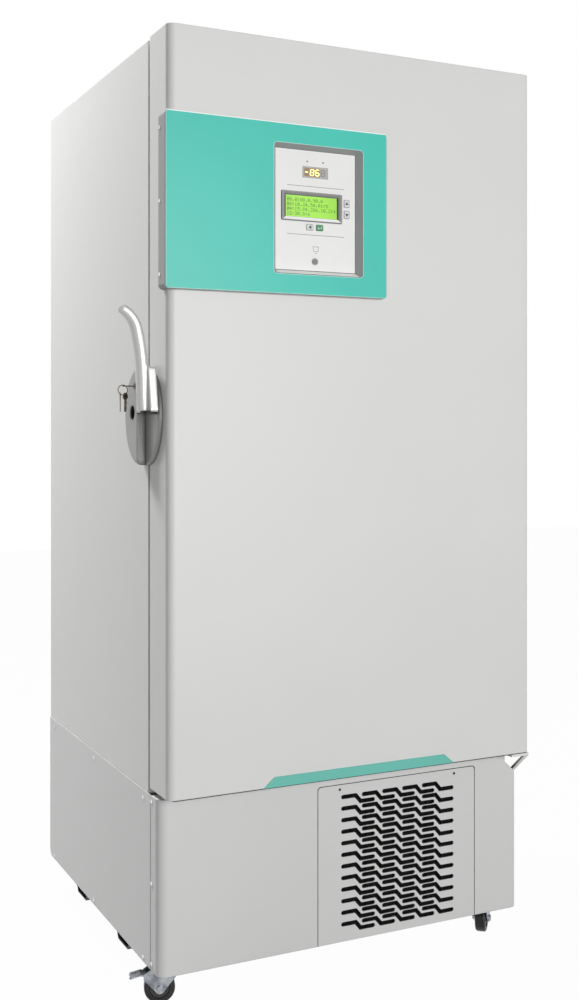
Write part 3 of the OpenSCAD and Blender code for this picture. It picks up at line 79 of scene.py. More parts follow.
class Flow:
    """A value, colour or vector on its way through a material, written as a Python expression."""

    def __init__(self, bench: "Bench", socket: bpy.types.NodeSocket) -> None:
        """Wraps one output socket of a bench's tree."""
        self.bench = bench
        self.socket = socket

    def _math(self, operation: str, other: Any) -> "Flow":
        """Returns the result of a Math node on this and another value."""
        return self.bench.node("ShaderNodeMath", {"operation": operation}, {0: self, 1: other})

    def __add__(self, other: Any) -> "Flow":
        """Sum."""
        return self._math("ADD", other)

    def __radd__(self, other: Any) -> "Flow":
        """Sum with the number written first."""
        return self._math("ADD", other)

    def __sub__(self, other: Any) -> "Flow":
        """Difference."""
        return self._math("SUBTRACT", other)

    def __mul__(self, other: Any) -> "Flow":
        """Product."""
        return self._math("MULTIPLY", other)

    def __truediv__(self, other: Any) -> "Flow":
        """Quotient."""
        return self._math("DIVIDE", other)


class Bench:
    """Builds the nodes of one material or world."""

    def __init__(self, tree: bpy.types.NodeTree, output: str = "ShaderNodeOutputMaterial") -> None:
        """Empties a node tree and gives it an output node.

        Args:
            tree: The tree.
            output: Type of its output node.
        """
        self.tree = tree
        tree.nodes.clear()
        self.output = tree.nodes.new(output)

    def node(self, kind: str, settings: dict[str, Any], sockets: dict[Any, Any], out: Any = 0) -> Flow:
        """Adds any node.

        Args:
            kind: The node's type.
            settings: Its properties, set first.
            sockets: Values or Flows of its inputs by name or number.
            out: The output that is wanted.

        Returns:
            That output.
        """
        made = self.tree.nodes.new(kind)
        for key, value in settings.items():
            setattr(made, key, value)
        for key, value in sockets.items():
            if isinstance(value, Flow):
                self.tree.links.new(value.socket, made.inputs[key])
            elif isinstance(value, tuple) and made.inputs[key].type == "RGBA":
                made.inputs[key].default_value = (*value, 1.0)
            else:
                made.inputs[key].default_value = value
        return Flow(self, made.outputs[out])

    def place(self, scale: Place = (1.0, 1.0, 1.0)) -> Flow:
        """Returns the object's own coordinates, scaled."""
        where = self.node("ShaderNodeTexCoord", {}, {}, "Object")
        return self.node("ShaderNodeMapping", {}, {"Vector": where, "Scale": scale})

    def axis(self, letter: str) -> Flow:
        """Returns one of the object's coordinates, in metres."""
        where = self.node("ShaderNodeTexCoord", {}, {}, "Object")
        return self.node("ShaderNodeSeparateXYZ", {}, {"Vector": where}, letter)

    def noise(self, scale: float, detail: float = 3.0, where: Flow | None = None, lumps: float = 0.55) -> Flow:
        """Adds a Noise Texture.

        Args:
            scale: Lumps to a metre.
            detail: Octaves of finer lumps.
            where: Coordinates, or None for the object's own.
            lumps: Weight of the finer lumps.

        Returns:
            A value about 0.5.
        """
        sockets = {"Vector": where or self.place(), "Scale": scale, "Detail": detail, "Roughness": lumps}
        return self.node("ShaderNodeTexNoise", {}, sockets, "Fac")

    def cells(self, scale: float, out: str = "Distance") -> Flow:
        """Returns an output of a Voronoi Texture with so many cells to a metre."""
        return self.node("ShaderNodeTexVoronoi", {}, {"Vector": self.place(), "Scale": scale}, out)

    def flakes(self, scale: float) -> Flow:
        """Returns a value that is even over each cell and differs from cell to cell."""
        return self.node("ShaderNodeSeparateColor", {}, {"Color": self.cells(scale, "Color")}, "Red")

    def spread(self, value: Flow, low: float, high: float, to_low: float = 0.0, to_high: float = 1.0) -> Flow:
        """Stretches the range low to high over another one, and holds it at the ends."""
        sockets = {"Value": value, "From Min": low, "From Max": high, "To Min": to_low, "To Max": to_high}
        return self.node("ShaderNodeMapRange", {"clamp": True}, sockets)

    def blend(self, factor: Any, first: Any, second: Any) -> Flow:
        """Returns a colour between two, by a factor."""
        settings = {"data_type": "RGBA", "blend_type": "MIX"}
        return self.node("ShaderNodeMix", settings, {0: factor, 6: first, 7: second}, 2)

    def rounded(self, radius: float) -> Flow:
        """Returns a normal that rounds sharp edges to a radius."""
        return self.node("ShaderNodeBevel", {"samples": 6}, {"Radius": radius}, "Normal")

    def bump(self, height: Flow, depth: float, strength: float, over: Flow | None = None) -> Flow:
        """Adds a Bump node.

        Args:
            height: Height from 0 to 1.
            depth: What a height of 1 is, in metres.
            strength: Share of the effect.
            over: Normal that it starts from.

        Returns:
            The new normal.
        """
        sockets: dict[Any, Any] = {"Height": height, "Distance": depth, "Strength": strength}
        if over is not None:
            sockets["Normal"] = over
        return self.node("ShaderNodeBump", {}, sockets)

    def surface(self, sockets: dict[str, Any]) -> None:
        """Ends the material in a Principled shader with these sockets."""
        self.end(self.node("ShaderNodeBsdfPrincipled", {}, sockets))

    def end(self, shader: Flow) -> None:
        """Links a shader to the output."""
        self.tree.links.new(shader.socket, self.output.inputs["Surface"])


@dataclass(frozen=True)
class Finish:
    """What a surface is made of; every kind of finish draws its own nodes."""

    name: str
    colour: Colour

    def draw(self, bench: Bench) -> None:
        """Draws the finish's nodes into its material."""
        raise NotImplementedError

    def material(self) -> bpy.types.Material:
        """Returns the finish's material, made at its first use."""
        made = bpy.data.materials.get("finish_" + self.name)
        if made is None:
            made = bpy.data.materials.new("finish_" + self.name)
            made.use_nodes = True
            self.draw(Bench(made.node_tree))
            made.diffuse_color = (*self.colour, 1.0)
        return made


@dataclass(frozen=True)
class PowderCoat(Finish):
    """Baked powder paint: soft gloss, a fine orange peel and rounded folds."""

    roughness: float = 0.42
    fold: float = 0.0025
    peel: float = 0.00012
    spread: float = 0.03

    def draw(self, bench: Bench) -> None:
        """Draws the finish's nodes.

        Args:
            bench: Where they go.
        """
        broad = bench.noise(2.2, 2.0)
        peel = bench.noise(520.0, 2.0)
        speck = bench.noise(2600.0, 1.0)
        body = bench.blend(bench.spread(broad, 0.3, 0.7), shaded(self.colour, 1 - self.spread), self.colour)
        body = bench.blend(bench.spread(speck, 0.62, 0.8, 0.0, 0.35), body, shaded(self.colour, 0.86))
        gloss = self.roughness + (broad - 0.5) * 0.12 + (peel - 0.5) * 0.1
        relief = bench.bump(peel + speck * 0.4, self.peel, 0.5, bench.rounded(self.fold))
        bench.surface({"Base Color": body, "Roughness": gloss, "Normal": relief, "Specular IOR Level": 0.45})


@dataclass(frozen=True)
class Moulding(Finish):
    """Moulded plastic with an even spark-eroded grain."""

    roughness: float = 0.4
    grain: float = 0.00008
    fold: float = 0.0012
    pitch: float = 1500.0

    def draw(self, bench: Bench) -> None:
        """Draws the finish's nodes.

        Args:
            bench: Where they go.
        """
        cloud = bench.noise(9.0, 3.0)
        grain = bench.cells(self.pitch)
        body = bench.blend(bench.spread(cloud, 0.3, 0.7), shaded(self.colour, 0.96), self.colour)
        gloss = self.roughness + (cloud - 0.5) * 0.1 + grain * 0.06
        relief = bench.bump(grain, self.grain, 0.6, bench.rounded(self.fold))
        bench.surface({"Base Color": body, "Roughness": gloss, "Normal": relief})


@dataclass(frozen=True)
class MetallicPaint(Finish):
    """Silver-grey paint on a moulding, with fine flakes under a thin clear coat."""

    roughness: float = 0.34
    fold: float = 0.004
    metal: float = 0.55

    def draw(self, bench: Bench) -> None:
        """Draws the finish's nodes.

        Args:
            bench: Where they go.
        """
        flake = bench.flakes(2400.0)
        cloud = bench.noise(14.0, 3.0)
        body = bench.blend(flake, shaded(self.colour, 0.9), shaded(self.colour, 1.08))
        gloss = self.roughness + (cloud - 0.5) * 0.12 + flake * 0.05
        relief = bench.bump(flake, 0.00003, 0.4, bench.rounded(self.fold))
        bench.surface({"Base Color": body, "Roughness": gloss, "Metallic": self.metal, "Normal": relief,
                       "Coat Weight": 0.12, "Coat Roughness": 0.2})


@dataclass(frozen=True)
class PrintedSheet(Finish):
    """Polyester sheet printed on its back: even colour under a fine satin face."""

    roughness: float = 0.45

    def draw(self, bench: Bench) -> None:
        """Draws the finish's nodes.

        Args:
            bench: Where they go.
        """
        cloud = bench.noise(6.0, 2.0)
        satin = bench.noise(1900.0, 2.0)
        body = bench.blend(bench.spread(cloud, 0.3, 0.7), shaded(self.colour, 0.97), shaded(self.colour, 1.02))
        gloss = self.roughness + (satin - 0.5) * 0.16
        relief = bench.bump(satin, 0.00003, 0.5, bench.rounded(0.0005))
        bench.surface({"Base Color": body, "Roughness": gloss, "Normal": relief, "Coat Weight": 0.1,
                       "Coat Roughness": 0.25})


@dataclass(frozen=True)
class PlatedSteel(Finish):
    """Zinc plated steel with a faint spangle, a passivation tint and rolling marks."""

    roughness: float = 0.3
    tint: Colour = (0.55, 0.6, 0.66)
    fold: float = 0.0008

    def draw(self, bench: Bench) -> None:
        """Draws the finish's nodes.

        Args:
            bench: Where they go.
        """
        shade = bench.flakes(240.0)
        cloud = bench.noise(55.0, 4.0)
        lines = bench.noise(260.0, 2.0, bench.place((1.0, 1.0, 6.0)))
        body = bench.blend(bench.spread(cloud, 0.35, 0.65), self.colour, self.tint)
        body = bench.blend(shade * 0.22, body, shaded(self.colour, 0.7))
        gloss = self.roughness + (cloud - 0.5) * 0.25 + shade * 0.08
        relief = bench.bump(lines + shade * 0.3, 0.00005, 0.5, bench.rounded(self.fold))
        bench.surface({"Base Color": body, "Metallic": 1.0, "Roughness": gloss, "Normal": relief})


@dataclass(frozen=True)
class BrushedSheet(Finish):
    """Sheet metal brushed along its width."""

    roughness: float = 0.3
    run: Place = (4.0, 60.0, 900.0)

    def draw(self, bench: Bench) -> None:
        """Draws the finish's nodes.

        Args:
            bench: Where they go.
        """
        strokes = bench.noise(1.0, 4.0, bench.place(self.run), 0.7)
        cloud = bench.noise(5.0, 3.0)
        body = bench.blend(bench.spread(strokes, 0.25, 0.75), shaded(self.colour, 0.82), self.colour)
        gloss = self.roughness + (strokes - 0.5) * 0.3 + (cloud - 0.5) * 0.12
        relief = bench.bump(strokes, 0.00004, 0.6, bench.rounded(0.0008))
        bench.surface({"Base Color": body, "Metallic": 1.0, "Roughness": gloss, "Normal": relief})


@dataclass(frozen=True)
class Tarnished(Finish):
    """Copper, brass or nickel that hands and air have dulled."""

    dull: Colour = (0.1, 0.07, 0.05)
    roughness: float = 0.32
    wear: float = 0.5

    def draw(self, bench: Bench) -> None:
        """Draws the finish's nodes.

        Args:
            bench: Where they go.
        """
        stain = bench.noise(130.0, 5.0, lumps=0.65)
        mark = bench.noise(900.0, 2.0)
        mask = bench.spread(stain, 0.4, 0.68, 0.0, self.wear)
        body = bench.blend(mask, self.colour, self.dull)
        relief = bench.bump(mark, 0.00004, 0.5, bench.rounded(0.0004))
        bench.surface({"Base Color": body, "Metallic": 1.0, "Roughness": self.roughness + mask * 0.35,
                       "Normal": relief})


@dataclass(frozen=True)
class Rubber(Finish):
    """Soft black rubber or a hard tread, a little dusty in its pores."""

    roughness: float = 0.55
    dust: float = 0.25
    shine: float = 0.5

    def draw(self, bench: Bench) -> None:
        """Draws the finish's nodes.

        Args:
            bench: Where they go.
        """
        pores = bench.cells(1300.0)
        cloud = bench.noise(45.0, 4.0)
        body = bench.blend(bench.spread(cloud, 0.42, 0.75, 0.0, self.dust), self.colour, (0.16, 0.155, 0.145))
        relief = bench.bump(pores, 0.00008, 0.5, bench.rounded(0.0008))
        bench.surface({"Base Color": body, "Roughness": self.roughness + (cloud - 0.5) * 0.2, "Normal": relief,
                       "Specular IOR Level": self.shine})


@dataclass(frozen=True)
class CellFoam(Finish):
    """Open or closed cell foam."""

    cell: float = 420.0
    depth: float = 0.0006

    def draw(self, bench: Bench) -> None:
        """Draws the finish's nodes.

        Args:
            bench: Where they go.
        """
        cell = bench.cells(self.cell)
        cloud = bench.noise(12.0, 3.0)
        body = bench.blend(bench.spread(cell, 0.0, 0.7), shaded(self.colour, 0.65), self.colour)
        body = bench.blend(cloud * 0.3, body, shaded(self.colour, 0.8))
        bench.surface({"Base Color": body, "Roughness": 0.85 + cloud * 0.1, "Specular IOR Level": 0.1,
                       "Normal": bench.bump(cell, self.depth, 0.8)})


@dataclass(frozen=True)
class LitGlass(Finish):
    """A lit display behind clear plastic: bright in its middle, darker towards the ends."""

    glow: float = 0.6
    middle: float = 0.0
    reach: float = 0.06
    falloff: float = 0.3

    def draw(self, bench: Bench) -> None:
        """Draws the finish's nodes.

        Args:
            bench: Where they go.
        """
        off = (bench.axis("X") - self.middle) / self.reach
        edge = bench.spread(off * off, 0.0, 1.0, 0.0, self.falloff)
        grain = bench.noise(1400.0, 2.0)
        body = bench.blend(edge, self.colour, shaded(self.colour, 0.45))
        body = bench.blend(bench.spread(grain, 0.3, 0.7, 0.0, 0.12), body, shaded(self.colour, 0.7))
        bench.surface({"Base Color": body, "Roughness": 0.22 + grain * 0.08, "Emission Color": body,
                       "Emission Strength": self.glow, "Coat Weight": 0.4, "Coat Roughness": 0.08})


@dataclass(frozen=True)
class Ink(Finish):
    """Screen printed ink: even, a little soft at its grain."""

    roughness: float = 0.5

    def draw(self, bench: Bench) -> None:
        """Draws the finish's nodes.

        Args:
            bench: Where they go.
        """
        grain = bench.noise(2200.0, 2.0)
        body = bench.blend(bench.spread(grain, 0.35, 0.75), self.colour, shaded(self.colour, 1.35))
        bench.surface({"Base Color": body, "Roughness": self.roughness + (grain - 0.5) * 0.2,
                       "Normal": bench.bump(grain, 0.00002, 0.4)})


DOOR_PAINT = PowderCoat("door_paint", (0.69, 0.69, 0.68))
CABINET_PAINT = PowderCoat("cabinet_paint", (0.72, 0.72, 0.71))
COVER_PAINT = PowderCoat("front_cover_paint", (0.64, 0.64, 0.635))
SIDE_PAINT = PowderCoat("side_cover_paint", (0.67, 0.67, 0.665))
GRILLE_PAINT = PowderCoat("grille_paint", (0.64, 0.64, 0.635), fold=0.0012)
FRAME_PAINT = PowderCoat("frame_paint", (0.42, 0.42, 0.41), roughness=0.5)
RAIL_PAINT = PowderCoat("rail_paint", (0.022, 0.022, 0.022), roughness=0.38)
POT_PAINT = PowderCoat("compressor_paint", (0.018, 0.018, 0.02), roughness=0.3, peel=0.0003)
BRACKET_PAINT = PlatedSteel("hinge_plate", (0.62, 0.62, 0.60), tint=(0.42, 0.42, 0.40), roughness=0.42)
HOUSING_GREY = Moulding("control_housing_grey", (0.325, 0.345, 0.34), roughness=0.45, fold=0.003)
LATCH_SILVER = MetallicPaint("latch_silver", (0.28, 0.28, 0.275), fold=0.011)
LEVER_SILVER = MetallicPaint("lever_silver", (0.57, 0.57, 0.56), roughness=0.36, fold=0.003, metal=0.45)
TEAL = PrintedSheet("teal_sheet", tone(36, 189, 172))
# Painted highlight: a lighter copy of the teal for the sheet's rounded edges
TEAL_HIGHLIGHT = PrintedSheet("teal_edge_highlight", tone(178, 228, 219))
# Painted highlight: near white for the edges and slopes that face the light
SLOPE_HIGHLIGHT = Moulding("painted_slope_highlight", (0.94, 0.94, 0.93), roughness=0.45, fold=0.0004)
TRIM_TEAL = PrintedSheet("trim_sheet", tone(98, 184, 171))
FASCIA = Moulding("fascia_sheet", tone(231, 231, 229), roughness=0.38, grain=0.00003, fold=0.0004)
WHITE = Moulding("white_moulding", (0.78, 0.78, 0.76), roughness=0.4, fold=0.002)
# Black plastic for the fan, and painted shade for the recess cup, the strip slots, the sounder holes and the
# LCD's edge
BLACK = Moulding("black_moulding_and_shade", (0.02, 0.02, 0.02), roughness=0.5)
FILTER = CellFoam("filter_foam", (0.008, 0.008, 0.008), cell=900.0, depth=0.0004)
FOAM = CellFoam("rigid_foam", (0.72, 0.62, 0.33))
STAINLESS = BrushedSheet("stainless_sheet", (0.60, 0.60, 0.60))
FINS = BrushedSheet("fin_sheet", (0.70, 0.71, 0.72), roughness=0.35, run=(900.0, 30.0, 4.0))
ZINC = PlatedSteel("zinc_plate", (0.46, 0.48, 0.51), tint=(0.14, 0.15, 0.17))
SCREW = PlatedSteel("bright_screw", (0.86, 0.87, 0.88), roughness=0.22)
COPPER = Tarnished("copper_tube", (0.62, 0.31, 0.18))
KEYS = Tarnished("key_metal", (0.17, 0.13, 0.08), dull=(0.022, 0.018, 0.014), wear=0.75)
GASKET = Rubber("gasket_rubber", (0.012, 0.012, 0.012), dust=0.1, shine=0.2)
TREAD = Rubber("tread_rubber", (0.008, 0.008, 0.0075), roughness=0.4, dust=0.12, shine=0.3)
BEZEL = Moulding("bezel_grey", (0.27, 0.27, 0.265), roughness=0.42, fold=0.0006)
LCD = LitGlass("lcd_backlight", tone(138, 202, 40), glow=0.42, middle=-0.1165, reach=0.06)
LED_PANE = LitGlass("led_pane", tone(172, 170, 168), glow=0.0, middle=-0.1085, reach=0.03, falloff=0.15)
DIGIT = LitGlass("digit_light", tone(255, 240, 150), glow=1.3, middle=-0.1085, reach=0.05, falloff=0.05)
DIM = Ink("unlit_segment", tone(118, 110, 98))
INK = Ink("dark_ink", tone(62, 62, 66))
RULE = Ink("rule_ink", tone(132, 130, 126))
LCD_INK = Ink("lcd_ink", tone(44, 102, 10))
# Painted glow: a warm ink, not a lamp, for the light that the lit digits spread over the pane
PAINTED_GLOW = Ink("painted_led_glow", tone(150, 118, 80))
# Painted shade: black rims round the grille's slots, where their walls lie in shade
SLOT_SHADE = Rubber("slot_painted_shade", (0.003, 0.003, 0.003), dust=0.0, shine=0.05)
CAP_GREY = Moulding("cap_grey", tone(214, 216, 218), roughness=0.4, grain=0.00003, fold=0.0005)
CAP_GREEN = Moulding("cap_green", tone(52, 134, 84), roughness=0.4, grain=0.00003, fold=0.0005)
LAMP = LitGlass("lamp_lens", tone(150, 120, 96), glow=0.05, middle=-0.109, reach=0.06, falloff=0.1)


class Slot(Enum):
    """Names of the record's material slots; new pieces are handed one, which nothing reads."""

    FASCIA = "fascia_white"
    LCD = "lcd_green"
    LED = "led_window"
    CAP = "button_grey"
    LEVER = "lever_grey"
    ZINC = "zinc"
    BLACK = "black_plastic"
    WHEEL = "wheel_black"
    PANEL = "panel_grey"
    STEEL = "stainless"


# Meshes


def finished(name: str, mesh: bpy.types.Mesh, finish: Finish, body: str,
             smooth: float | None = None) -> bpy.types.Object:
    """Turns a mesh that is in its place into a piece that rides on a body.

    Args:
        name: The piece's name.
        mesh: Its mesh, in metres in the part's frame.
        finish: What it is made of.
        body: The body that carries it.
        smooth: Angle in degrees under which edges are smooth, or None for flat faces.

    Returns:
        The piece.
    """
    mesh.name = name
    mesh.materials.clear()
    mesh.materials.append(finish.material())
    if smooth is not None:
        mesh.polygons.foreach_set("use_smooth", [True] * len(mesh.polygons))
        mesh.set_sharp_from_angle(angle=math.radians(smooth))
    piece = bpy.data.objects.new(name, mesh)
    bpy.context.scene.collection.objects.link(piece)
    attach(piece, body)
    log.info("%s: %d faces on %s", name, len(mesh.polygons), body)
    return piece


def mesh_from(build: Callable[[bmesh.types.BMesh], None]) -> bpy.types.Mesh:
    """Makes a mesh with doubles merged and faces outwards.

    Args:
        build: Draws the shape into an empty bmesh.

    Returns:
        The mesh.
    """
    work = bmesh.new()
    build(work)
    bmesh.ops.remove_doubles(work, verts=work.verts, dist=1e-7)
    bmesh.ops.recalc_face_normals(work, faces=work.faces)
    mesh = bpy.data.meshes.new("mesh")
    work.to_mesh(mesh)
    work.free()
    return mesh


def shell(work: bmesh.types.BMesh, first: Sequence[Place], last: Sequence[Place]) -> None:
    """Adds a closed shape between two outlines with as many corners.

    Args:
        work: Where it goes.
        first: Corners of one end, in millimetres.
        last: Corners of the other end.
    """
    front, back = ([work.verts.new([value * MM for value in corner]) for corner in ring]
                   for ring in (first, last))
    work.faces.new(front)
    work.faces.new(back[::-1])
    for i in range(len(front)):
        j = (i + 1) % len(front)
        work.faces.new((front[j], front[i], back[i], back[j]))


def prism(work: bmesh.types.BMesh, outline: Sequence[Point], y0: float, y1: float) -> None:
    """Adds a closed slab whose outline is drawn from the front.

    Args:
        work: Where it goes.
        outline: Corners as (x, z), in millimetres.
        y0: Front face, in millimetres.
        y1: Back face, in millimetres.
    """
    shell(work, [(x, y0, z) for x, z in outline], [(x, y1, z) for x, z in outline])


def slabs(name: str, outlines: Iterable[Sequence[Point]], y0: float, y1: float, finish: Finish, body: str,
          slot: Slot) -> None:
    """Makes one piece of slabs that are drawn from the front.

    Args:
        name: The piece's name.
        outlines: The slabs' corners as (x, z), in millimetres.
        y0: Their front face, in millimetres.
        y1: Their back face, in millimetres.
        finish: What the piece is made of.
        body: The body that carries it.
        slot: Not used.
    """
    def build(work: bmesh.types.BMesh) -> None:
        """Draws every slab."""
        for outline in outlines:
            prism(work, outline, y0, y1)

    finished(name, mesh_from(build), finish, body)


def arc(x: float, z: float, r: float, start: float, sweep: float, steps: int) -> list[Point]:
    """Returns points on a circle about (x, z), from a starting angle over a sweep, in degrees."""
    angles = [math.radians(start + sweep * i / steps) for i in range(steps + 1)]
    return [(x + r * math.cos(a), z + r * math.sin(a)) for a in angles]


def rounded_rect(x0: float, z0: float, x1: float, z1: float, r: float) -> list[Point]:
    """Draws a rectangle's outline with round corners.

    Args:
        x0: Left side.
        z0: Lower side.
        x1: Right side.
        z1: Upper side.
        r: Radius of the corners.

    Returns:
        Corners as (x, z).
    """
    outline: list[Point] = []
    for cx, cz, start in ((x1 - r, z1 - r, 0), (x0 + r, z1 - r, 90), (x0 + r, z0 + r, 180),
                          (x1 - r, z0 + r, 270)):
        outline += arc(cx, cz, r, start, 90, 6)
    return outline


def border(x0: float, z0: float, x1: float, z1: float, r: float, width: float) -> list[list[Point]]:
    """Draws a line round the inside of a rectangle with round corners.

    Args:
        x0: Left side.
        z0: Lower side.
        x1: Right side.
        z1: Upper side.
        r: Outer radius of the corners.
        width: Width of the line.

    Returns:
        The outlines of its stretches.
    """
    least_r = 0.05
    outer = rounded_rect(x0, z0, x1, z1, r)
    inner = rounded_rect(x0 + width, z0 + width, x1 - width, z1 - width, max(r - width, least_r))
    return [[outer[i - 1], outer[i], inner[i], inner[i - 1]] for i in range(len(outer))]


def disc(x: float, z: float, r: float) -> list[Point]:
    """Returns a circle's outline."""
    return arc(x, z, r, 0, 360, 28)[:-1]


def stroke(path: Sequence[Point], width: float) -> list[list[Point]]:
    """Draws a line of some width.

    Args:
        path: Its corners as (x, z).
        width: Its width.

    Returns:
        The outlines of its stretches.
    """
    made = []
    for (x0, z0), (x1, z1) in zip(path, path[1:]):
        length = math.hypot(x1 - x0, z1 - z0)
        ux, uz = (x1 - x0) / length * width / 2, (z1 - z0) / length * width / 2
        made.append([(x0 - ux + uz, z0 - uz - ux), (x1 + ux + uz, z1 + uz - ux),
                     (x1 + ux - uz, z1 + uz + ux), (x0 - ux - uz, z0 - uz + ux)])
    return made


def lathe(work: bmesh.types.BMesh, profile: Sequence[Point], centre: Vector, axis: Vector, steps: int) -> None:
    """Adds a closed turned shape.

    Args:
        work: Where it goes.
        profile: (radius, distance along the axis) pairs in metres, from pole to pole.
        centre: Start of the axis.
        axis: Its direction.
        steps: Facets round it.
    """
    least_r = 1e-9
    u = axis.orthogonal().normalized()
    v = axis.cross(u).normalized()
    turns = [(math.cos(math.tau * i / steps), math.sin(math.tau * i / steps)) for i in range(steps)]
    rings: list[list[bmesh.types.BMVert]] = []
    for r, h in profile:
        middle = centre + axis * h
        if r < least_r:
            rings.append([work.verts.new(middle)])
        else:
            rings.append([work.verts.new(middle + u * (r * c) + v * (r * s)) for c, s in turns])
    for low, high in zip(rings, rings[1:]):
        for i in range(steps):
            j = (i + 1) % steps
            corners = [low[i % len(low)], low[j % len(low)], high[j % len(high)], high[i % len(high)]]
            unique = list(dict.fromkeys(corners))
            if len(unique) > 2:
                work.faces.new(unique)


# Patterns


class Pattern:
    """A Geometry Nodes tree with named inputs that is run once and turned into a plain mesh."""

    KINDS = {float: "NodeSocketFloat", int: "NodeSocketInt", bpy.types.Material: "NodeSocketMaterial",
             bpy.types.Object: "NodeSocketObject"}

    def __init__(self, name: str, inputs: dict[str, type]) -> None:
        """Makes the tree with a mesh input, the named inputs and a mesh output.

        Args:
            name: The tree's name.
            inputs: Types of its inputs, by name.
        """
        self.tree = bpy.data.node_groups.new(name, "GeometryNodeTree")
        face = self.tree.interface
        face.new_socket("Mesh", in_out="INPUT", socket_type="NodeSocketGeometry")
        for key, kind in {**inputs, "Finish": bpy.types.Material}.items():
            face.new_socket(key, in_out="INPUT", socket_type=self.KINDS[kind])
        face.new_socket("Mesh", in_out="OUTPUT", socket_type="NodeSocketGeometry")
        self.given = self.tree.nodes.new("NodeGroupInput")
        self.result = self.tree.nodes.new("NodeGroupOutput")

    def take(self, key: str) -> bpy.types.NodeSocket:
        """Returns the socket of a named input."""
        return self.given.outputs[key]

    def node(self, kind: str, settings: dict[str, Any], sockets: dict[Any, Any]) -> bpy.types.Node:
        """Adds a node.

        Args:
            kind: The node's type.
            settings: Its properties.
            sockets: Values or sockets for its inputs.

        Returns:
            The node.
        """
        made = self.tree.nodes.new(kind)
        for key, value in settings.items():
            setattr(made, key, value)
        for key, value in sockets.items():
            if isinstance(value, bpy.types.NodeSocket):
                self.tree.links.new(value, made.inputs[key])
            else:
                made.inputs[key].default_value = value
        return made

    def along(self, letter: str, count: str, pitch: str) -> bpy.types.NodeSocket:
        """Adds a line of points.

        Args:
            letter: The axis that it follows.
            count: Named input that holds the number of points.
            pitch: Named input that holds their distance.

        Returns:
            The points.
        """
        offset = self.node("ShaderNodeCombineXYZ", {}, {letter: self.take(pitch)}).outputs[0]
        sockets = {"Count": self.take(count), "Offset": offset}
        return self.node("GeometryNodeMeshLine", {}, sockets).outputs["Mesh"]

    def block(self, width: str, depth: str, height: str) -> bpy.types.NodeSocket:
        """Adds a box.

        Args:
            width: Named input that holds its size along X.
            depth: The one for Y.
            height: The one for Z.

        Returns:
            The box.
        """
        sides = {"X": self.take(width), "Y": self.take(depth), "Z": self.take(height)}
        size = self.node("ShaderNodeCombineXYZ", {}, sides).outputs[0]
        return self.node("GeometryNodeMeshCube", {}, {"Size": size}).outputs["Mesh"]

    def put(self, points: bpy.types.NodeSocket, shape: bpy.types.NodeSocket,
            rotation: bpy.types.NodeSocket | None = None) -> bpy.types.NodeSocket:
        """Copies a shape to every point.

        Args:
            points: The points.
            shape: The shape.
            rotation: How each copy is turned.

        Returns:
            The copies, as real faces.
        """
        sockets: dict[Any, Any] = {"Points": points, "Instance": shape}
        if rotation is not None:
            sockets["Rotation"] = rotation
        copies = self.node("GeometryNodeInstanceOnPoints", {}, sockets).outputs[0]
        return self.node("GeometryNodeRealizeInstances", {}, {"Geometry": copies}).outputs[0]

    def end(self, mesh: bpy.types.NodeSocket) -> None:
        """Ends the tree in Realize Instances and Set Material.

        Args:
            mesh: What the tree has made.
        """
        real = self.node("GeometryNodeRealizeInstances", {}, {"Geometry": mesh}).outputs[0]
        done = self.node("GeometryNodeSetMaterial", {}, {"Geometry": real, "Material": self.take("Finish")})
        self.tree.links.new(done.outputs[0], self.result.inputs[0])

    def run(self, name: str, source: bpy.types.Mesh, values: dict[str, Any], finish: Finish, body: str,
            slot: Slot, smooth: float | None = None) -> bpy.types.Object:
        """Runs the tree on a mesh and keeps the result as a plain piece.

        Args:
            name: The piece's name.
            source: The mesh that the tree starts from.
            values: Values of its named inputs.
            finish: What the piece is made of.
            body: The body that carries it.
            slot: Not used.
            smooth: Angle in degrees under which edges are smooth.

        Returns:
            The piece.
        """
        holder = bpy.data.objects.new(name + "_holder", source)
        bpy.context.scene.collection.objects.link(holder)
        modifier = holder.modifiers.new("pattern", "NODES")
        modifier.node_group = self.tree
        chosen = {**values, "Finish": finish.material()}
        for item in self.tree.interface.items_tree:
            if item.in_out == "INPUT" and item.name in chosen:
                modifier[item.identifier] = chosen[item.name]
        bpy.context.view_layer.update()
        graph = bpy.context.evaluated_depsgraph_get()
        mesh = bpy.data.meshes.new_from_object(holder.evaluated_get(graph))
        holder.modifiers.clear()
        bpy.data.objects.remove(holder)
        return finished(name, mesh, finish, body, smooth)


def slot_grid() -> Pattern:
    """Returns the pattern of one flat rim repeated at every slot: the mesh is that rim."""
    made = Pattern("slot_grid", {"Columns": int, "Rows": int, "Column pitch": float, "Row pitch": float})
    columns = made.along("X", "Columns", "Column pitch")
    rows = made.along("Z", "Rows", "Row pitch")
    made.end(made.put(made.put(columns, rows), made.take("Mesh")))
    return made


def screw_set() -> Pattern:
    """Returns the pattern of a head at every point of the mesh, along its "facing" attribute."""
    made = Pattern("screw_set", {"Head": bpy.types.Object})
    head = made.node("GeometryNodeObjectInfo", {}, {"Object": made.take("Head")}).outputs["Geometry"]
    facing = made.node("GeometryNodeInputNamedAttribute", {"data_type": "FLOAT_VECTOR"}, {"Name": "facing"})
    vector = {"Vector": facing.outputs["Attribute"]}
    turn = made.node("FunctionNodeAlignRotationToVector", {"axis": "Z"}, vector)
    made.end(made.put(made.take("Mesh"), head, turn.outputs[0]))
    return made


def bar_row() -> Pattern:
    """Returns the pattern of equal bars above one another, from the mesh's first point."""
    made = Pattern("bar_row", {"Count": int, "Pitch": float, "Width": float, "Depth": float, "Height": float})
    bar = made.block("Width", "Depth", "Height")
    made.end(made.put(made.take("Mesh"), made.put(made.along("Z", "Count", "Pitch"), bar)))
    return made


def dot_field() -> Pattern:
    """Returns the pattern of a small square at every point of the mesh, facing the front."""
    made = Pattern("dot_field", {"Dot": float, "Depth": float})
    made.end(made.put(made.take("Mesh"), made.block("Dot", "Depth", "Dot")))
    return made


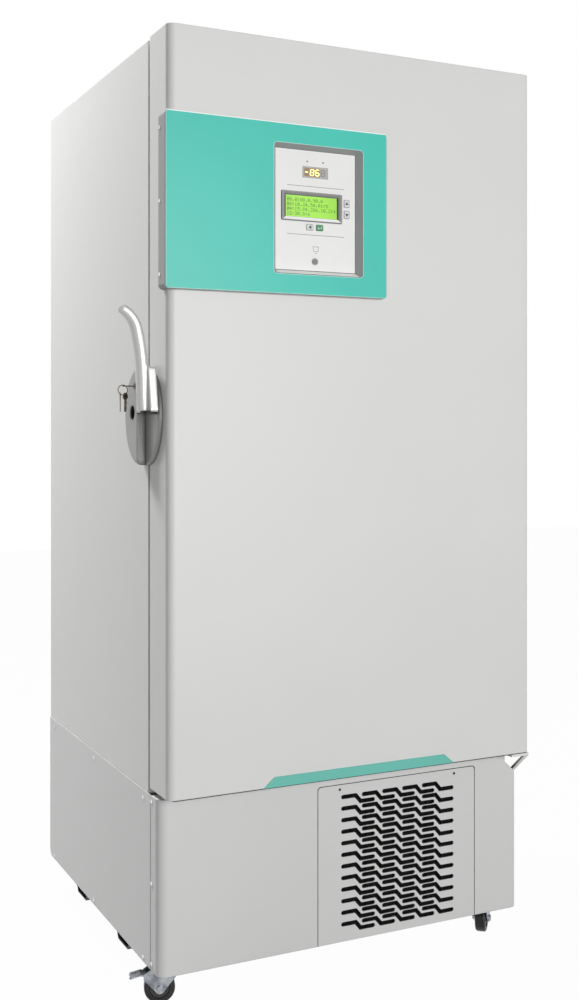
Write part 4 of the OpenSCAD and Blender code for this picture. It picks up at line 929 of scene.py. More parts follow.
def points_mesh(places: Sequence[Vector], facing: Sequence[Vector] | None = None) -> bpy.types.Mesh:
    """Makes a mesh of loose points.

    Args:
        places: The points, in metres.
        facing: Direction at each, kept as the attribute "facing".

    Returns:
        The mesh.
    """
    mesh = bpy.data.meshes.new("points")
    mesh.from_pydata([tuple(p) for p in places], [], [])
    if facing is not None:
        layer = mesh.attributes.new("facing", "FLOAT_VECTOR", "POINT")
        layer.data.foreach_set("vector", [c for f in facing for c in f])
    return mesh


def screw_head(radius: float, height: float) -> bpy.types.Object:
    """Makes a domed head with a cross recess, to be copied by a pattern.

    Args:
        radius: Radius of the head, in metres.
        height: Height of the head, in metres.

    Returns:
        The head, standing on the origin along +Z and not part of the scene.
    """
    steps = 24
    arm, half = radius * 0.52, radius * 0.13
    cross = [(half, arm), (-half, arm), (-half, half), (-arm, half), (-arm, -half), (-half, -half),
             (-half, -arm), (half, -arm), (half, -half), (arm, -half), (arm, half), (half, half)]
    # Shares of the radius and of the height, from the recess to the foot
    dome = ((0.62, 0.97), (0.8, 0.84), (0.93, 0.6), (1.0, 0.25), (1.0, 0.0))
    mouth, floor_height, narrowing = height * 0.98, height * 0.45, 0.8

    def build(work: bmesh.types.BMesh) -> None:
        """Draws the dome round a cross-shaped recess."""
        top = [work.verts.new((x, y, mouth)) for x, y in cross]
        floor = [work.verts.new((x * narrowing, y * narrowing, floor_height)) for x, y in cross]
        work.faces.new(floor)
        for i in range(len(cross)):
            j = (i + 1) % len(cross)
            work.faces.new((top[i], top[j], floor[j], floor[i]))
        angles = [math.tau * i / steps for i in range(steps)]
        rings = [[work.verts.new((radius * r * math.cos(a), radius * r * math.sin(a), height * h))
                  for a in angles] for r, h in dome]
        for low, high in zip(rings, rings[1:]):
            for i in range(steps):
                j = (i + 1) % steps
                work.faces.new((low[i], high[i], high[j], low[j]))
        work.faces.new(rings[-1])
        edges = [work.edges.get((ring[i], ring[(i + 1) % len(ring)]))
                 for ring in (rings[0], top) for i in range(len(ring))]
        bmesh.ops.triangle_fill(work, edges=edges, use_beauty=True)

    return bpy.data.objects.new("head_pattern", mesh_from(build))


# Sub-assemblies


@dataclass
class Cabinet:
    """Insulated cabinet, its throat, shelves and coil, in millimetres."""

    strip_x: float = 302.3
    strip_front: float = -171.0
    strip_rear: float = 220.0
    strip_low: float = 597.0
    slot_count: int = 44
    slot_pitch: float = 28.0
    slot_size: Place = (0.6, 9.0, 4.0)

    def dress(self) -> None:
        """Gives every piece of the cabinet its finish."""
        paint_nodes({"cabinet_shell": CABINET_PAINT, "cabinet_back_panel": CABINET_PAINT,
                     "cabinet_insulation": FOAM, "inner_liner": STAINLESS, "throat_frame": WHITE,
                     "inner_door_hinges": STAINLESS, "evaporator_coil": COPPER, "shelves": STAINLESS,
                     "access_port": WHITE, "inner_door_upper": WHITE, "inner_door_lower": WHITE})

    def build(self, bars: Pattern) -> None:
        """Adds the slots of the four shelf strips as black bars of painted shade.

        Args:
            bars: The pattern that repeats a slot.
        """
        width, depth, height = (value * MM for value in self.slot_size)
        values = {"Count": self.slot_count, "Pitch": self.slot_pitch * MM, "Width": width, "Depth": depth,
                  "Height": height}
        for side, x in (("left", -self.strip_x), ("right", self.strip_x)):
            for end, y in (("front", self.strip_front), ("rear", self.strip_rear)):
                source = points_mesh([Vector((x, y, self.strip_low)) * MM])
                bars.run(f"strip_slots_{side}_{end}", source, values, BLACK, "cabinet", Slot.STEEL)


@dataclass
class Door:
    """Door with its hinges, gasket and lower strip, in millimetres."""

    sweep: Box = (-424.0, 447.2, 424.0, 449.3)
    sweep_r: float = 0.4
    sweep_front: float = -431.4
    sweep_back: float = -427.0

    def dress(self) -> None:
        """Gives every piece of the door its finish."""
        paint_nodes({"door_skin": DOOR_PAINT, "door_insulation": FOAM, "door_liner": WHITE,
                     "door_gasket": GASKET, "door_hinge_bushes": WHITE, "door_trim": TRIM_TEAL,
                     "hinge_brackets": BRACKET_PAINT})

    def build(self) -> None:
        """Adds the narrow black sweep under the door's front edge: partly a sweep gasket, partly painted shadow
        for the dark line the door casts on the cover below.
        """
        outline = rounded_rect(*self.sweep, self.sweep_r)
        slabs("door_sweep", [outline], self.sweep_front, self.sweep_back, GASKET, "door", Slot.BLACK)


GLYPHS = {
    "0": "01110 10001 10011 10101 11001 10001 01110", "1": "00100 01100 00100 00100 00100 00100 01110",
    "2": "01110 10001 00001 00010 00100 01000 11111", "3": "11111 00010 00100 00010 00001 10001 01110",
    "4": "00010 00110 01010 10010 11111 00010 00010", "5": "11111 10000 11110 00001 00001 10001 01110",
    "6": "00110 01000 10000 11110 10001 10001 01110", "7": "11111 00001 00010 00100 01000 01000 01000",
    "8": "01110 10001 10001 01110 10001 10001 01110", "9": "01110 10001 10001 01111 00001 00010 01100",
    "-": "00000 00000 00000 11111 00000 00000 00000", ".": "00000 00000 00000 00000 00000 01100 01100",
    ":": "00000 01100 01100 00000 01100 01100 00000", "/": "00000 00001 00010 00100 01000 10000 00000",
}
SEGMENTS = {"8": "abcdefg", "6": "acdefg", "-": "g", "": ""}


@dataclass
class ControlPanel:
    """Control housing on the door: teal sheet, fascia, two displays, lamps, four keys and a sounder.

    Sizes are in millimetres. A box is (x0, z0, x1, z1), and other places are (x, z) from the fascia's middle.
    """

    front: float = -444.0
    face: float = -427.0
    middle: Point = (-107.5, 1633.0)
    ink: float = 0.12
    joint: float = 0.9
    sheet: Box = (-444.6, 1457.4, 52.6, 1804.6)
    sheet_r: float = 4.0
    top_edge: Box = (-443.6, 1804.2, 51.6, 1805.9)
    well: Box = (-212.2, 1496.8, -2.8, 1766.2)
    well_r: float = 9.0
    fascia: Box = (-201.2, 1507.8, -13.8, 1758.2)
    bezel: Box = (-187.4, 1610.2, -45.6, 1671.8)
    lcd: Point = (-9.0, 8.0)
    lcd_size: Point = (121.0, 44.0)
    lcd_margin: Point = (3.5, 5.6)
    dot: float = 0.94
    dot_pitch: float = 0.98
    letter_pitch: float = 6.0
    line_pitch: float = 9.6
    led: Point = (-1.0, 80.0)
    led_size: Point = (60.0, 24.0)
    figure: Point = (4.0, 6.0)
    figure_line: float = 1.9
    figure_lean: float = 0.1
    figure_gap: float = 0.15
    lamps: tuple[Point, Point] = ((-20.0, 102.0), (17.0, 102.0))
    lamp_r: float = 1.9
    rules: Point = (1683.4, 1583.0)
    key_top: float = -428.2
    sounder: Point = (-2.0, -105.0)
    sounder_r: float = 6.9
    rows: tuple[str, ...] = ("86.0:80.0.90.0", "86:10.24.58.01:5", "04:15.84.286.10.2:4", "12/30.8:6")

    def dress(self) -> None:
        """Gives every piece of the control panel its finish."""
        paint_nodes({"control_housing": HOUSING_GREY, "control_overlay": TEAL, "control_fascia": FASCIA,
                     "lcd_screen": BEZEL, "led_display": CAP_GREY, "button_up": CAP_GREY,
                     "button_down": CAP_GREY, "button_back": CAP_GREY, "button_enter": CAP_GREEN})

    def at(self, place: Point) -> Point:
        """Returns where a place on the fascia is."""
        return self.middle[0] + place[0], self.middle[1] + place[1]

    def pane(self, place: Point, size: Point) -> Box:
        """Returns the box of a size about a place on the fascia."""
        (x, z), w, h = self.at(place), size[0] / 2, size[1] / 2
        return x - w, z - h, x + w, z + h

    def build(self, dots: Pattern) -> None:
        """Adds the displays' panes and marks, the printed lines and the keys' signs.

        Args:
            dots: The pattern of small squares.
        """
        self._trims()
        self._lcd(dots)
        self._led()
        self._print()
        self._keys()
        self._sounder(dots)

    def _trims(self) -> None:
        """Adds painted highlights along the sheet's edge, the housing's top edge, the well's mouth and the two
        slopes under fascia and window, and the dark joints.
        """
        # The pale lines along the sheet, the housing's top and the well's mouth are painted highlights
        edges = (("overlay_edge", border(*self.sheet, self.sheet_r, 1.0), 0.03, 0.8, TEAL_HIGHLIGHT),
                 ("housing_top_edge", [rounded_rect(*self.top_edge, 0.6)], 0.04, 1.0, SLOPE_HIGHLIGHT),
                 ("well_edge", border(*self.well, self.well_r, 1.2), 0.035, 0.8, TEAL_HIGHLIGHT))
        for name, outlines, proud, depth, finish in edges:
            slabs(name, outlines, self.front - proud, self.front + depth, finish, "door", Slot.PANEL)
        joints = (("fascia_joint", border(*self.fascia, 1.5, self.joint), self.ink, 0.3),
                  ("bezel_joint", border(*self.bezel, 3.0, self.joint), 0.6, 0.0))
        for name, outlines, proud, depth in joints:
            slabs(name, outlines, self.face - proud, self.face + depth, INK, "door", Slot.PANEL)
        self._slope("well_slope", (-204.0, -11.0), (-199.5, -15.5), (1499.6, -442.4), (1507.2, -428.2))
        self._slope("bezel_slope", (-184.0, -49.0), (-177.4, -55.6), (1612.6, -430.15), (1618.6, -427.9))

    @staticmethod
    def _slope(name: str, low_x: Point, high_x: Point, low: Point, high: Point) -> None:
        """Adds a thin pale sheet of painted highlight on a slope that looks up and forward, where the light
        falls.

        Args:
            name: The piece's name.
            low_x: Its ends at the lower edge.
            high_x: Its ends at the upper edge.
            low: Height and depth (z, y) of the lower edge.
            high: Height and depth of the upper edge.
        """
        thickness = 0.4
        near, far = ([(low_x[0], low[1] + back, low[0]), (low_x[1], low[1] + back, low[0]),
                      (high_x[1], high[1] + back, high[0]), (high_x[0], high[1] + back, high[0])]
                     for back in (0.0, thickness))
        finished(name, mesh_from(lambda work: shell(work, near, far)), SLOPE_HIGHLIGHT, "door")

    def _lcd(self, dots: Pattern) -> None:
        """Adds the lit pane, a black strip of painted shadow along its right edge and its four rows of plain
        numbers.

        Args:
            dots: The pattern of small squares.
        """
        x0, z0, x1, z1 = pane = self.pane(self.lcd, self.lcd_size)
        slabs("lcd_pane", [rounded_rect(*pane, 0.6)], self.face - 0.25, self.face - 0.02, LCD, "door", Slot.LCD)
        # Painted shadow: a black strip where the bezel shades the pane's right edge
        inside, outside = x1 - 2.0, x1 + 0.4
        shade = [[(inside, z0), (outside, z0), (outside, z1), (inside, z1)]]
        slabs("lcd_dark_edge", shade, self.face - 0.35, self.face - 0.2, BLACK, "door", Slot.BLACK)
        left, top, depth = x0 + self.lcd_margin[0], z1 - self.lcd_margin[1], self.face - 0.3
        places = [Vector((left + column * self.letter_pitch + i * self.dot_pitch, depth,
                          top - line * self.line_pitch - j * self.dot_pitch)) * MM
                  for line, text in enumerate(self.rows) for column, sign in enumerate(text)
                  for j, bits in enumerate(GLYPHS[sign].split()) for i, bit in enumerate(bits) if bit == "1"]
        dots.run("lcd_numbers", points_mesh(places), {"Dot": self.dot * MM, "Depth": self.ink * MM}, LCD_INK,
                 "door", Slot.LCD)

    def _led(self) -> None:
        """Adds the smoked pane with lit and unlit segments, and a warm patch of painted glow behind the digits.
        """
        cx, cz = self.at(self.led)
        slabs("led_pane", [rounded_rect(*self.pane(self.led, self.led_size), 0.8)], self.face + 0.1,
              self.face + 0.48, LED_PANE, "door", Slot.LED)
        lit: list[list[Point]] = []
        dim: list[list[Point]] = []
        for sign, x in (("-", -20.0), ("8", -7.5), ("6", 5.0), ("", 18.0)):
            for letter, outline in self._segments(cx + x, cz).items():
                (lit if letter in SEGMENTS[sign] else dim).append(outline)
        # A warm patch behind the digits is painted glow from the lit segments
        glow_patch = [rounded_rect(cx - 25.5, cz - 8.8, cx + 11.5, cz + 8.8, 1.0)]
        for name, outlines, start, end, finish in (("led_backing", glow_patch, 0.04, 0.14, PAINTED_GLOW),
                                                   ("led_digits", lit, -0.05, 0.08, DIGIT),
                                                   ("led_unlit", dim, -0.02, 0.08, DIM)):
            slabs(name, outlines, self.face + start, self.face + end, finish, "door", Slot.LED)

    def _segments(self, x: float, z: float) -> dict[str, list[Point]]:
        """Draws the seven segments of one figure.

        Args:
            x: The figure's middle.
            z: Its height.

        Returns:
            The segments' outlines by letter, from the top clockwise, the bar last.
        """
        w, h = self.figure
        g, k = self.figure_gap, self.figure_line / 2

        def bar(x0: float, z0: float, x1: float, z1: float) -> list[Point]:
            """Draws one pointed segment.

            Args:
                x0: Its start.
                z0: The start's height.
                x1: Its end.
                z1: The end's height.

            Returns:
                Its outline.
            """
            length = math.hypot(x1 - x0, z1 - z0)
            ux, uz = (x1 - x0) / length * k, (z1 - z0) / length * k
            raw = [(x0, z0), (x0 + ux - uz, z0 + uz + ux), (x1 - ux - uz, z1 - uz + ux),
                   (x1, z1), (x1 - ux + uz, z1 - uz - ux), (x0 + ux + uz, z0 + uz - ux)]
            return [(x + px + pz * self.figure_lean, z + pz) for px, pz in raw]

        return {"a": bar(-w + g, h, w - g, h), "b": bar(w, h - g, w, g), "c": bar(w, -g, w, -h + g),
                "d": bar(-w + g, -h, w - g, -h), "e": bar(-w, -g, -w, -h + g), "f": bar(-w, h - g, -w, g),
                "g": bar(-w + g, 0, w - g, 0)}

    def _print(self) -> None:
        """Adds the fascia's two rules, the sign beside the sounder and the two lamps."""
        y0, y1 = self.face - self.ink, self.face
        x, half = self.middle[0], 0.6
        rules = [rounded_rect(x - 66, z - half, x + 67, z + half, 0.5) for z in self.rules]
        slabs("fascia_rules", rules, y0, y1, RULE, "door", Slot.FASCIA)
        x, z = self.at((0.0, -79.0))
        brim, foot, tall = 6.6, 4.4, 5.0
        cup = [(x - brim, z + tall), (x + brim, z + tall), (x + foot, z - tall), (x - foot, z - tall),
               (x - brim, z + tall)]
        sign = stroke(cup, 1.0) + [rounded_rect(x - 2.2, z - 9, x + 2.2, z - 7.8, 0.4)]
        slabs("fascia_sign", sign, y0, y1, RULE, "door", Slot.FASCIA)
        for name, place in zip(("left", "right"), self.lamps):
            outline = disc(*self.at(place), self.lamp_r)
            slabs(f"lamp_{name}", [outline], self.face - 0.62, self.face - 0.48, LAMP, "door", Slot.LED)

    def _keys(self) -> None:
        """Adds a rim and a sign on each key."""
        y0, y1 = self.key_top - self.ink, self.key_top
        tall, wide = (6.4, 7.9), (7.9, 6.1)
        turn = [(4.4, 3.2), (4.4, -1.4), (-2.6, -1.4)]
        head = [(-2.2, -4.0), (-2.2, 1.2), (-5.6, -1.4)]
        keys = (("up", (73.0, 21.0), tall, [[(-4.2, -2.6), (4.2, -2.6), (0.0, 4.4)]], RULE, INK),
                ("down", (73.0, -2.0), tall, [[(4.2, 2.0), (-4.2, 2.0), (0.0, -5.0)]], RULE, INK),
                ("back", (-14.0, -34.0), wide, [[(3.4, -4.2), (3.4, 4.2), (-4.0, 0.0)]], RULE, INK),
                ("enter", (9.0, -34.0), wide, stroke(turn, 1.3) + [head], CAP_GREEN, CAP_GREY))
        for name, place, (w, h), _, finish, _ in keys:
            box = self.pane(place, (2 * w, 2 * h))
            slabs(f"rim_{name}", border(*box, 2.6, self.joint), y0, y1, finish, f"cap_{name}", Slot.CAP)
        for name, place, _, sign, _, finish in keys:
            x, z = self.at(place)
            outlines = [[(x + sx, z + sz) for sx, sz in outline] for outline in sign]
            slabs(f"sign_{name}", outlines, y0, y1, finish, f"cap_{name}", Slot.CAP)

    def _sounder(self, dots: Pattern) -> None:
        """Adds the sounder's grille: a grey ring with black squares of painted shade for its holes.

        Args:
            dots: The pattern of small squares.
        """
        cx, cz = self.at(self.sounder)
        ring = [disc(cx, cz, self.sounder_r)]
        slabs("sounder_ring", ring, self.face - 2.15, self.face - 1.3, BEZEL, "door", Slot.PANEL)
        depth = self.face - 2.18
        places = [Vector((x, depth, z)) * MM for r, count in ((0.0, 1), (2.1, 6), (4.2, 12))
                  for x, z in arc(cx, cz, r, 0, 360, count)[:-1]]
        dots.run("sounder_holes", points_mesh(places), {"Dot": 1.1 * MM, "Depth": 0.1 * MM}, BLACK, "door",
                 Slot.BLACK)


@dataclass
class Latch:
    """Split oval housing, swept lever with its foot, lock and keys, in millimetres and degrees."""

    foot_x: float = -444.0
    foot_t: float = 17.0
    foot_h: float = 93.0
    foot_low: float = 1213.0
    foot_front: Point = (36.0, 22.0)
    foot_rear: float = 17.0
    foot_r: float = 7.0
    sink: float = 9.0
    shaft_y: float = -367.0
    shaft_z: float = 1222.0
    tongue_reach: float = 52.5
    tongue_r: float = 6.0
    tongue_x: Point = (-439.8, -436.2)
    arm_w: float = 32.0
    arm_t: float = 24.0
    lean: float = 2.0
    straight: float = 80.0
    sway_r: float = 450.0
    neck: float = 170.0
    bend_r: float = 58.0
    bend_a: float = 58.0
    taper: float = 0.2
    seal: Box = (-442.2, 1112.0, -436.0, 1302.0)
    seal_y: float = -321.0
    seal_half: float = 0.7
    recess: Place = (-448.8, -291.0, 1214.0)
    recess_r: float = 15.0

    def dress(self) -> None:
        """Gives every piece of the latch its finish."""
        paint_nodes({"keeper_housing": LATCH_SILVER, "latch_housing": LATCH_SILVER, "latch_lever": LEVER_SILVER,
                     "lock_key": KEYS, "key_ring": KEYS})

    def build(self) -> None:
        """Adds the lever as one smooth casting with a dark pad under it that is partly painted shadow, a black
        cup of painted shade in the recess and the seal between the halves.
        """
        lever = self._casting()
        finished("lever_shaft", mesh_from(self._shaft), ZINC, "lever", 40)
        finished("lever_pad", mesh_from(self._shadow_pad), GASKET, "lever", 40)
        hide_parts("latch_lever")
        finished("recess_lining", mesh_from(self._recess), BLACK, "cabinet", 35)
        slabs("parting_seal", [rounded_rect(*self.seal, 1.0)], self.seal_y - self.seal_half,
              self.seal_y + self.seal_half, LATCH_SILVER, "cabinet", Slot.LEVER)

    @staticmethod
    def _bend(start: Point, lean: float, radius: float, run: float) -> Point:
        """Returns where a bend ends.

        Args:
            start: Where it starts, as (x, z).
            lean: Its first direction, in degrees from upright towards -x.
            radius: Its radius.
            run: Its length.

        Returns:
            Its end, as (x, z).
        """
        a = math.radians(lean)
        b = a + run / radius
        return start[0] + radius * (math.cos(b) - math.cos(a)), start[1] + radius * (math.sin(b) - math.sin(a))

    def _place(self, s: float) -> Point:
        """Returns a place on the arm's centre line.

        Args:
            s: Length along the line, from the foot.

        Returns:
            The place, as (x, z) from the line's start.
        """
        a = math.radians(self.lean)
        run = min(s, self.straight)
        point = (-run * math.sin(a), run * math.cos(a))
        if s > self.straight:
            point = self._bend(point, self.lean, self.sway_r, min(s, self.neck) - self.straight)
        if s > self.neck:
            lean = self.lean + math.degrees((self.neck - self.straight) / self.sway_r)
            point = self._bend(point, lean, self.bend_r, s - self.neck)
        return point

    def _arm(self, work: bmesh.types.BMesh) -> None:
        """Draws the arm: a rounded section swept along a line that bends away from the door.

        Args:
            work: Where it goes.
        """
        facets, squareness, step = 48, 0.8, 0.5
        end = self.neck + self.bend_r * math.radians(self.bend_a)
        middle_x = self.foot_x - self.foot_t + self.sink - self.arm_t / 2
        # Length along the line and share of the full section: foot, body, round tip
        stops = [(0.0, 0.8), (1.0, 0.9), (2.5, 0.97), (5.0, 1.0)]
        stops += [(8 + (end - 20) * i / 60, 1 - self.taper * (i / 60) ** 6) for i in range(61)]
        stops += [(end - 12 + 10 * math.sin(math.radians(i * 10)),
                   (1 - self.taper) * math.cos(math.radians(i * 10)) ** 0.9) for i in range(1, 9)]
        rings = []
        for s, k in stops:
            px, pz = self._place(s)
            qx, qz = self._place(s + step)
            length = math.hypot(qx - px, qz - pz)
            nx, nz = -(qz - pz) / length, (qx - px) / length
            middle = Vector((middle_x + px, self.shaft_y, self.foot_low + pz))
            ring = []
            for i in range(facets):
                a = math.tau * i / facets
                c, q = math.cos(a), math.sin(a)
                u = math.copysign(abs(c) ** squareness, c) * self.arm_t / 2 * k
                v = math.copysign(abs(q) ** squareness, q) * self.arm_w / 2 * k
                ring.append(work.verts.new((middle + Vector((nx * u, v, nz * u))) * MM))
            rings.append(ring)
        for low, high in zip(rings, rings[1:]):
            for i in range(facets):
                j = (i + 1) % facets
                work.faces.new((low[i], low[j], high[j], high[i]))
        work.faces.new(rings[0][::-1])
        work.faces.new(rings[-1])

    def _foot(self, work: bmesh.types.BMesh) -> None:
        """Draws the foot: a block that is wider at its lower end, with rounded corners.

        Args:
            work: Where it goes.
        """
        y0, y1 = (self.shaft_y - front for front in self.foot_front)
        y2 = self.shaft_y + self.foot_rear
        z0, z1, r = self.foot_low, self.foot_low + self.foot_h, self.foot_r
        outline: list[Point] = []
        for cy, cz, start in ((y2 - r, z1 - r, 0), (y1 + r, z1 - r, 90), (y0 + r, z0 + r, 180),
                              (y2 - r, z0 + r, 270)):
            outline += arc(cy, cz, r, start, 90, 6)
        outer = self.foot_x - self.foot_t
        shell(work, [(self.foot_x, y, z) for y, z in outline], [(outer, y, z) for y, z in outline])

    def _casting(self) -> bpy.types.Object:
        """Melts arm and foot into one smooth casting.

        Returns:
            The casting.
        """
        def draw(work: bmesh.types.BMesh) -> None:
            """Draws arm and foot."""
            self._arm(work)
            self._foot(work)

        holder = bpy.data.objects.new("casting_holder", mesh_from(draw))
        bpy.context.scene.collection.objects.link(holder)
        melt = holder.modifiers.new("melt", "REMESH")
        melt.mode = "VOXEL"
        melt.voxel_size = 0.0011
        soften = holder.modifiers.new("soften", "SMOOTH")
        soften.factor = 0.5
        soften.iterations = 14
        graph = bpy.context.evaluated_depsgraph_get()
        mesh = bpy.data.meshes.new_from_object(holder.evaluated_get(graph))
        bpy.data.objects.remove(holder)
        return finished("lever_casting", mesh, LEVER_SILVER, "lever", 80)

    def _shaft(self, work: bmesh.types.BMesh) -> None:
        """Draws the shaft, the tongue's hub and the tongue.

        Args:
            work: Where they go.
        """
        axis, facets = Vector((1, 0, 0)), 40
        x0, x1 = self.tongue_x
        lathe(work, [(0, 0), (0.007, 0), (0.007, 0.018), (0.0065, 0.0185), (0, 0.0185)],
              Vector((self.foot_x - 1, self.shaft_y, self.shaft_z)) * MM, axis, facets)
        lathe(work, [(0, 0), (0.012, 0), (0.012, 0.0036), (0, 0.0036)],
              Vector((x0, self.shaft_y, self.shaft_z)) * MM, axis, facets)
        r = self.tongue_r
        outline = [(r, r), *arc(self.tongue_reach, 0, r, 90, -180, 12), (r, -r)]
        shell(work, [(x0, self.shaft_y + y, self.shaft_z + z) for y, z in outline],
              [(x1, self.shaft_y + y, self.shaft_z + z) for y, z in outline])

    def _shadow_pad(self, work: bmesh.types.BMesh) -> None:
        """Draws the dark pad under the lever's lower end, a little narrower than the casting: partly a bumper,
        partly painted shadow of the gap under the lever.

        Args:
            work: Where it goes.
        """
        x1, x0 = self.foot_x - 1.0, self.foot_x - self.foot_t + self.sink - self.arm_t + 2.5
        y0, y1 = self.shaft_y - self.foot_front[0] + 2.0, self.shaft_y + self.foot_rear - 2.0
        outline = rounded_rect(x0, y0, x1, y1, 6.0)
        low, high = self.foot_low - 2.2, self.foot_low + 4.0
        shell(work, [(x, y, low) for x, y in outline], [(x, y, high) for x, y in outline])

    def _recess(self, work: bmesh.types.BMesh) -> None:
        """Draws a black shallow cup with a boss in the round recess: painted shade where the recess is dark.

        Args:
            work: Where it goes.
        """
        r = self.recess_r * MM
        profile = [(0, 0.0005), (r - 0.0002, 0.0005), (r - 0.0002, 0.0105), (r - 0.001, 0.0105),
                   (r - 0.001, 0.002), (0.008, 0.002), (0.0075, 0.0045), (0, 0.0048)]
        lathe(work, profile, Vector(self.recess) * MM, Vector((-1, 0, 0)), 40)


@dataclass
class MachineBase:
    """Machine compartment with its covers, grille, screws and what lies behind them, in millimetres."""

    front: float = -383.0
    columns: int = 5
    rows: int = 12
    column_pitch: float = 50.6
    row_pitch: float = 24.8
    slot_h: float = 7.5
    run_w: float = 31.0
    step_w: float = 12.0
    drop: float = 14.0
    first_x: float = -19.2
    first_z: float = 391.8
    rim: float = 0.85
    overlap: float = 0.2
    panel: Box = (-79.0, 82.0, 317.0, 418.5)
    panel_r: float = 7.0
    joint: float = 1.5
    side_joints: tuple[Point, Point] = ((-437.15, -436.4), (436.4, 436.98))
    side_tops: Point = (428.0, 384.0)
    side_joint_y: Point = (-334.4, -332.6)
    small_head: float = 3.2

    def dress(self) -> None:
        """Gives every piece of the machine compartment its finish."""
        paint_nodes({"base_frame": FRAME_PAINT, "cross_rails": RAIL_PAINT, "base_side_panels": SIDE_PAINT,
                     "base_front_panel": COVER_PAINT, "grille_panel": GRILLE_PAINT,
                     "base_rear_panel": CABINET_PAINT, "air_filter": FILTER, "condenser": FINS,
                     "fan_shroud": BLACK, "fan_motor": ZINC, "fan_rotor": BLACK,
                     "compressor_high_stage": POT_PAINT, "compressor_low_stage": POT_PAINT,
                     "refrigerant_lines": COPPER, "electrical_box": FRAME_PAINT, "panel_screws": SCREW,
                     "bezel_screws": SCREW})

    def slot_outline(self, grow: float) -> list[Point]:
        """Returns one zigzag slot's outline about the centre of its first end.

        Args:
            grow: How much wider than the slot it is.

        Returns:
            Corners as (x, z) in millimetres.
        """
        r = self.slot_h / 2 + grow
        mitre = r * math.tan(math.atan2(self.drop, self.step_w) / 2)
        x1, x2 = self.run_w, self.run_w + self.step_w
        x3 = 2 * self.run_w + self.step_w
        return (arc(0, 0, r, 90, 180, 6) + [(x1 - mitre, -r), (x2 - mitre, -self.drop - r)]
                + arc(x3, -self.drop, r, -90, 180, 6) + [(x2 + mitre, -self.drop + r), (x1 + mitre, r)])

    def build(self, rims: Pattern, screws: Pattern) -> None:
        """Adds black rims of painted shade round the slots, the covers' joints and their screws.

        Args:
            rims: The pattern that repeats a rim.
            screws: The pattern that puts a head at every point.
        """
        outer, inner = self.slot_outline(self.rim), self.slot_outline(-self.overlap)

        def ring(work: bmesh.types.BMesh) -> None:
            """Draws one flat rim of painted shade."""
            for i in range(len(outer)):
                quad = [outer[i - 1], outer[i], inner[i], inner[i - 1]]
                prism(work, [(self.first_x + x, self.first_z + z) for x, z in quad], self.front - 0.06,
                      self.front + 0.25)

        values = {"Columns": self.columns, "Rows": self.rows, "Column pitch": self.column_pitch * MM,
                  "Row pitch": -self.row_pitch * MM}
        rims.run("slot_rims", mesh_from(ring), values, SLOT_SHADE, "cabinet", Slot.BLACK)
        self._seams()
        self._screws(screws)

    def _seams(self) -> None:
        """Adds the dark joints of the grille panel and between the front and side covers."""
        x0, z0, x1, z1 = self.panel
        w, below, foot_gap = self.joint, 40, 2
        lines = border(x0 - w, z0 - below, x1 + w, z1 + w, self.panel_r, w)
        lines = [[(x, max(z, z0)) for x, z in line] for line in lines if max(z for _, z in line) > z0]
        slabs("grille_joint", lines, self.front - 0.08, self.front + 0.2, GASKET, "cabinet", Slot.BLACK)
        low = z0 + foot_gap
        sides = [[(left, low), (right, low), (right, top), (left, top)]
                 for (left, right), top in zip(self.side_joints, self.side_tops)]
        slabs("cover_joints", sides, *self.side_joint_y, GASKET, "cabinet", Slot.BLACK)

    def _screws(self, screws: Pattern) -> None:
        """Replaces the plain screw heads by heads with a cross recess.

        Args:
            screws: The pattern that puts a head at every point.
        """
        heads = self._heads("panel_screws")
        large = [head for head in heads if head[2] >= self.small_head]
        small = [head for head in heads if head[2] < self.small_head]
        side = self._heads("bezel_screws")
        for name, chosen, radius, height, finish, body in (
                ("cover_screws", large, 0.0045, 0.002, SCREW, "cabinet"),
                ("grille_screws", small, 0.003, 0.001, RAIL_PAINT, "cabinet"),
                ("housing_screws", side, 0.004, 0.0018, SCREW, "door")):
            source = points_mesh([head[0] for head in chosen], [head[1] for head in chosen])
            head = {"Head": screw_head(radius, height)}
            screws.run(name, source, head, finish, body, Slot.ZINC, 50)
        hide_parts("panel_screws")
        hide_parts("bezel_screws")

    def _heads(self, node: str) -> list[tuple[Vector, Vector, float]]:
        """Reads where the frame's screw heads are.

        Args:
            node: A node that holds only screw heads.

        Returns:
            For each head its foot's centre, its direction and its radius in millimetres.
        """
        work = bmesh.new()
        work.from_mesh(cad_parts[node].data)
        bmesh.ops.remove_doubles(work, verts=work.verts, dist=1e-6)
        seen: set[int] = set()
        made = []
        for start in work.verts:
            if start.index in seen:
                continue
            group, queue = [], [start]
            seen.add(start.index)
            while queue:
                vert = queue.pop()
                group.append(vert.co.copy())
                for edge in vert.link_edges:
                    other = edge.other_vert(vert)
                    if other.index not in seen:
                        seen.add(other.index)
                        queue.append(other)
            low = Vector(min(p[i] for p in group) for i in range(3))
            high = Vector(max(p[i] for p in group) for i in range(3))
            size = high - low
            flat = min(range(3), key=lambda i: size[i])
            foot = (low + high) / 2
            facing = Vector((0, 0, 0))
            facing[flat] = math.copysign(1.0, foot[flat])
            foot[flat] = low[flat] if facing[flat] > 0 else high[flat]
            made.append((foot, facing, max(size) / 2 / MM))
        work.free()
        return made


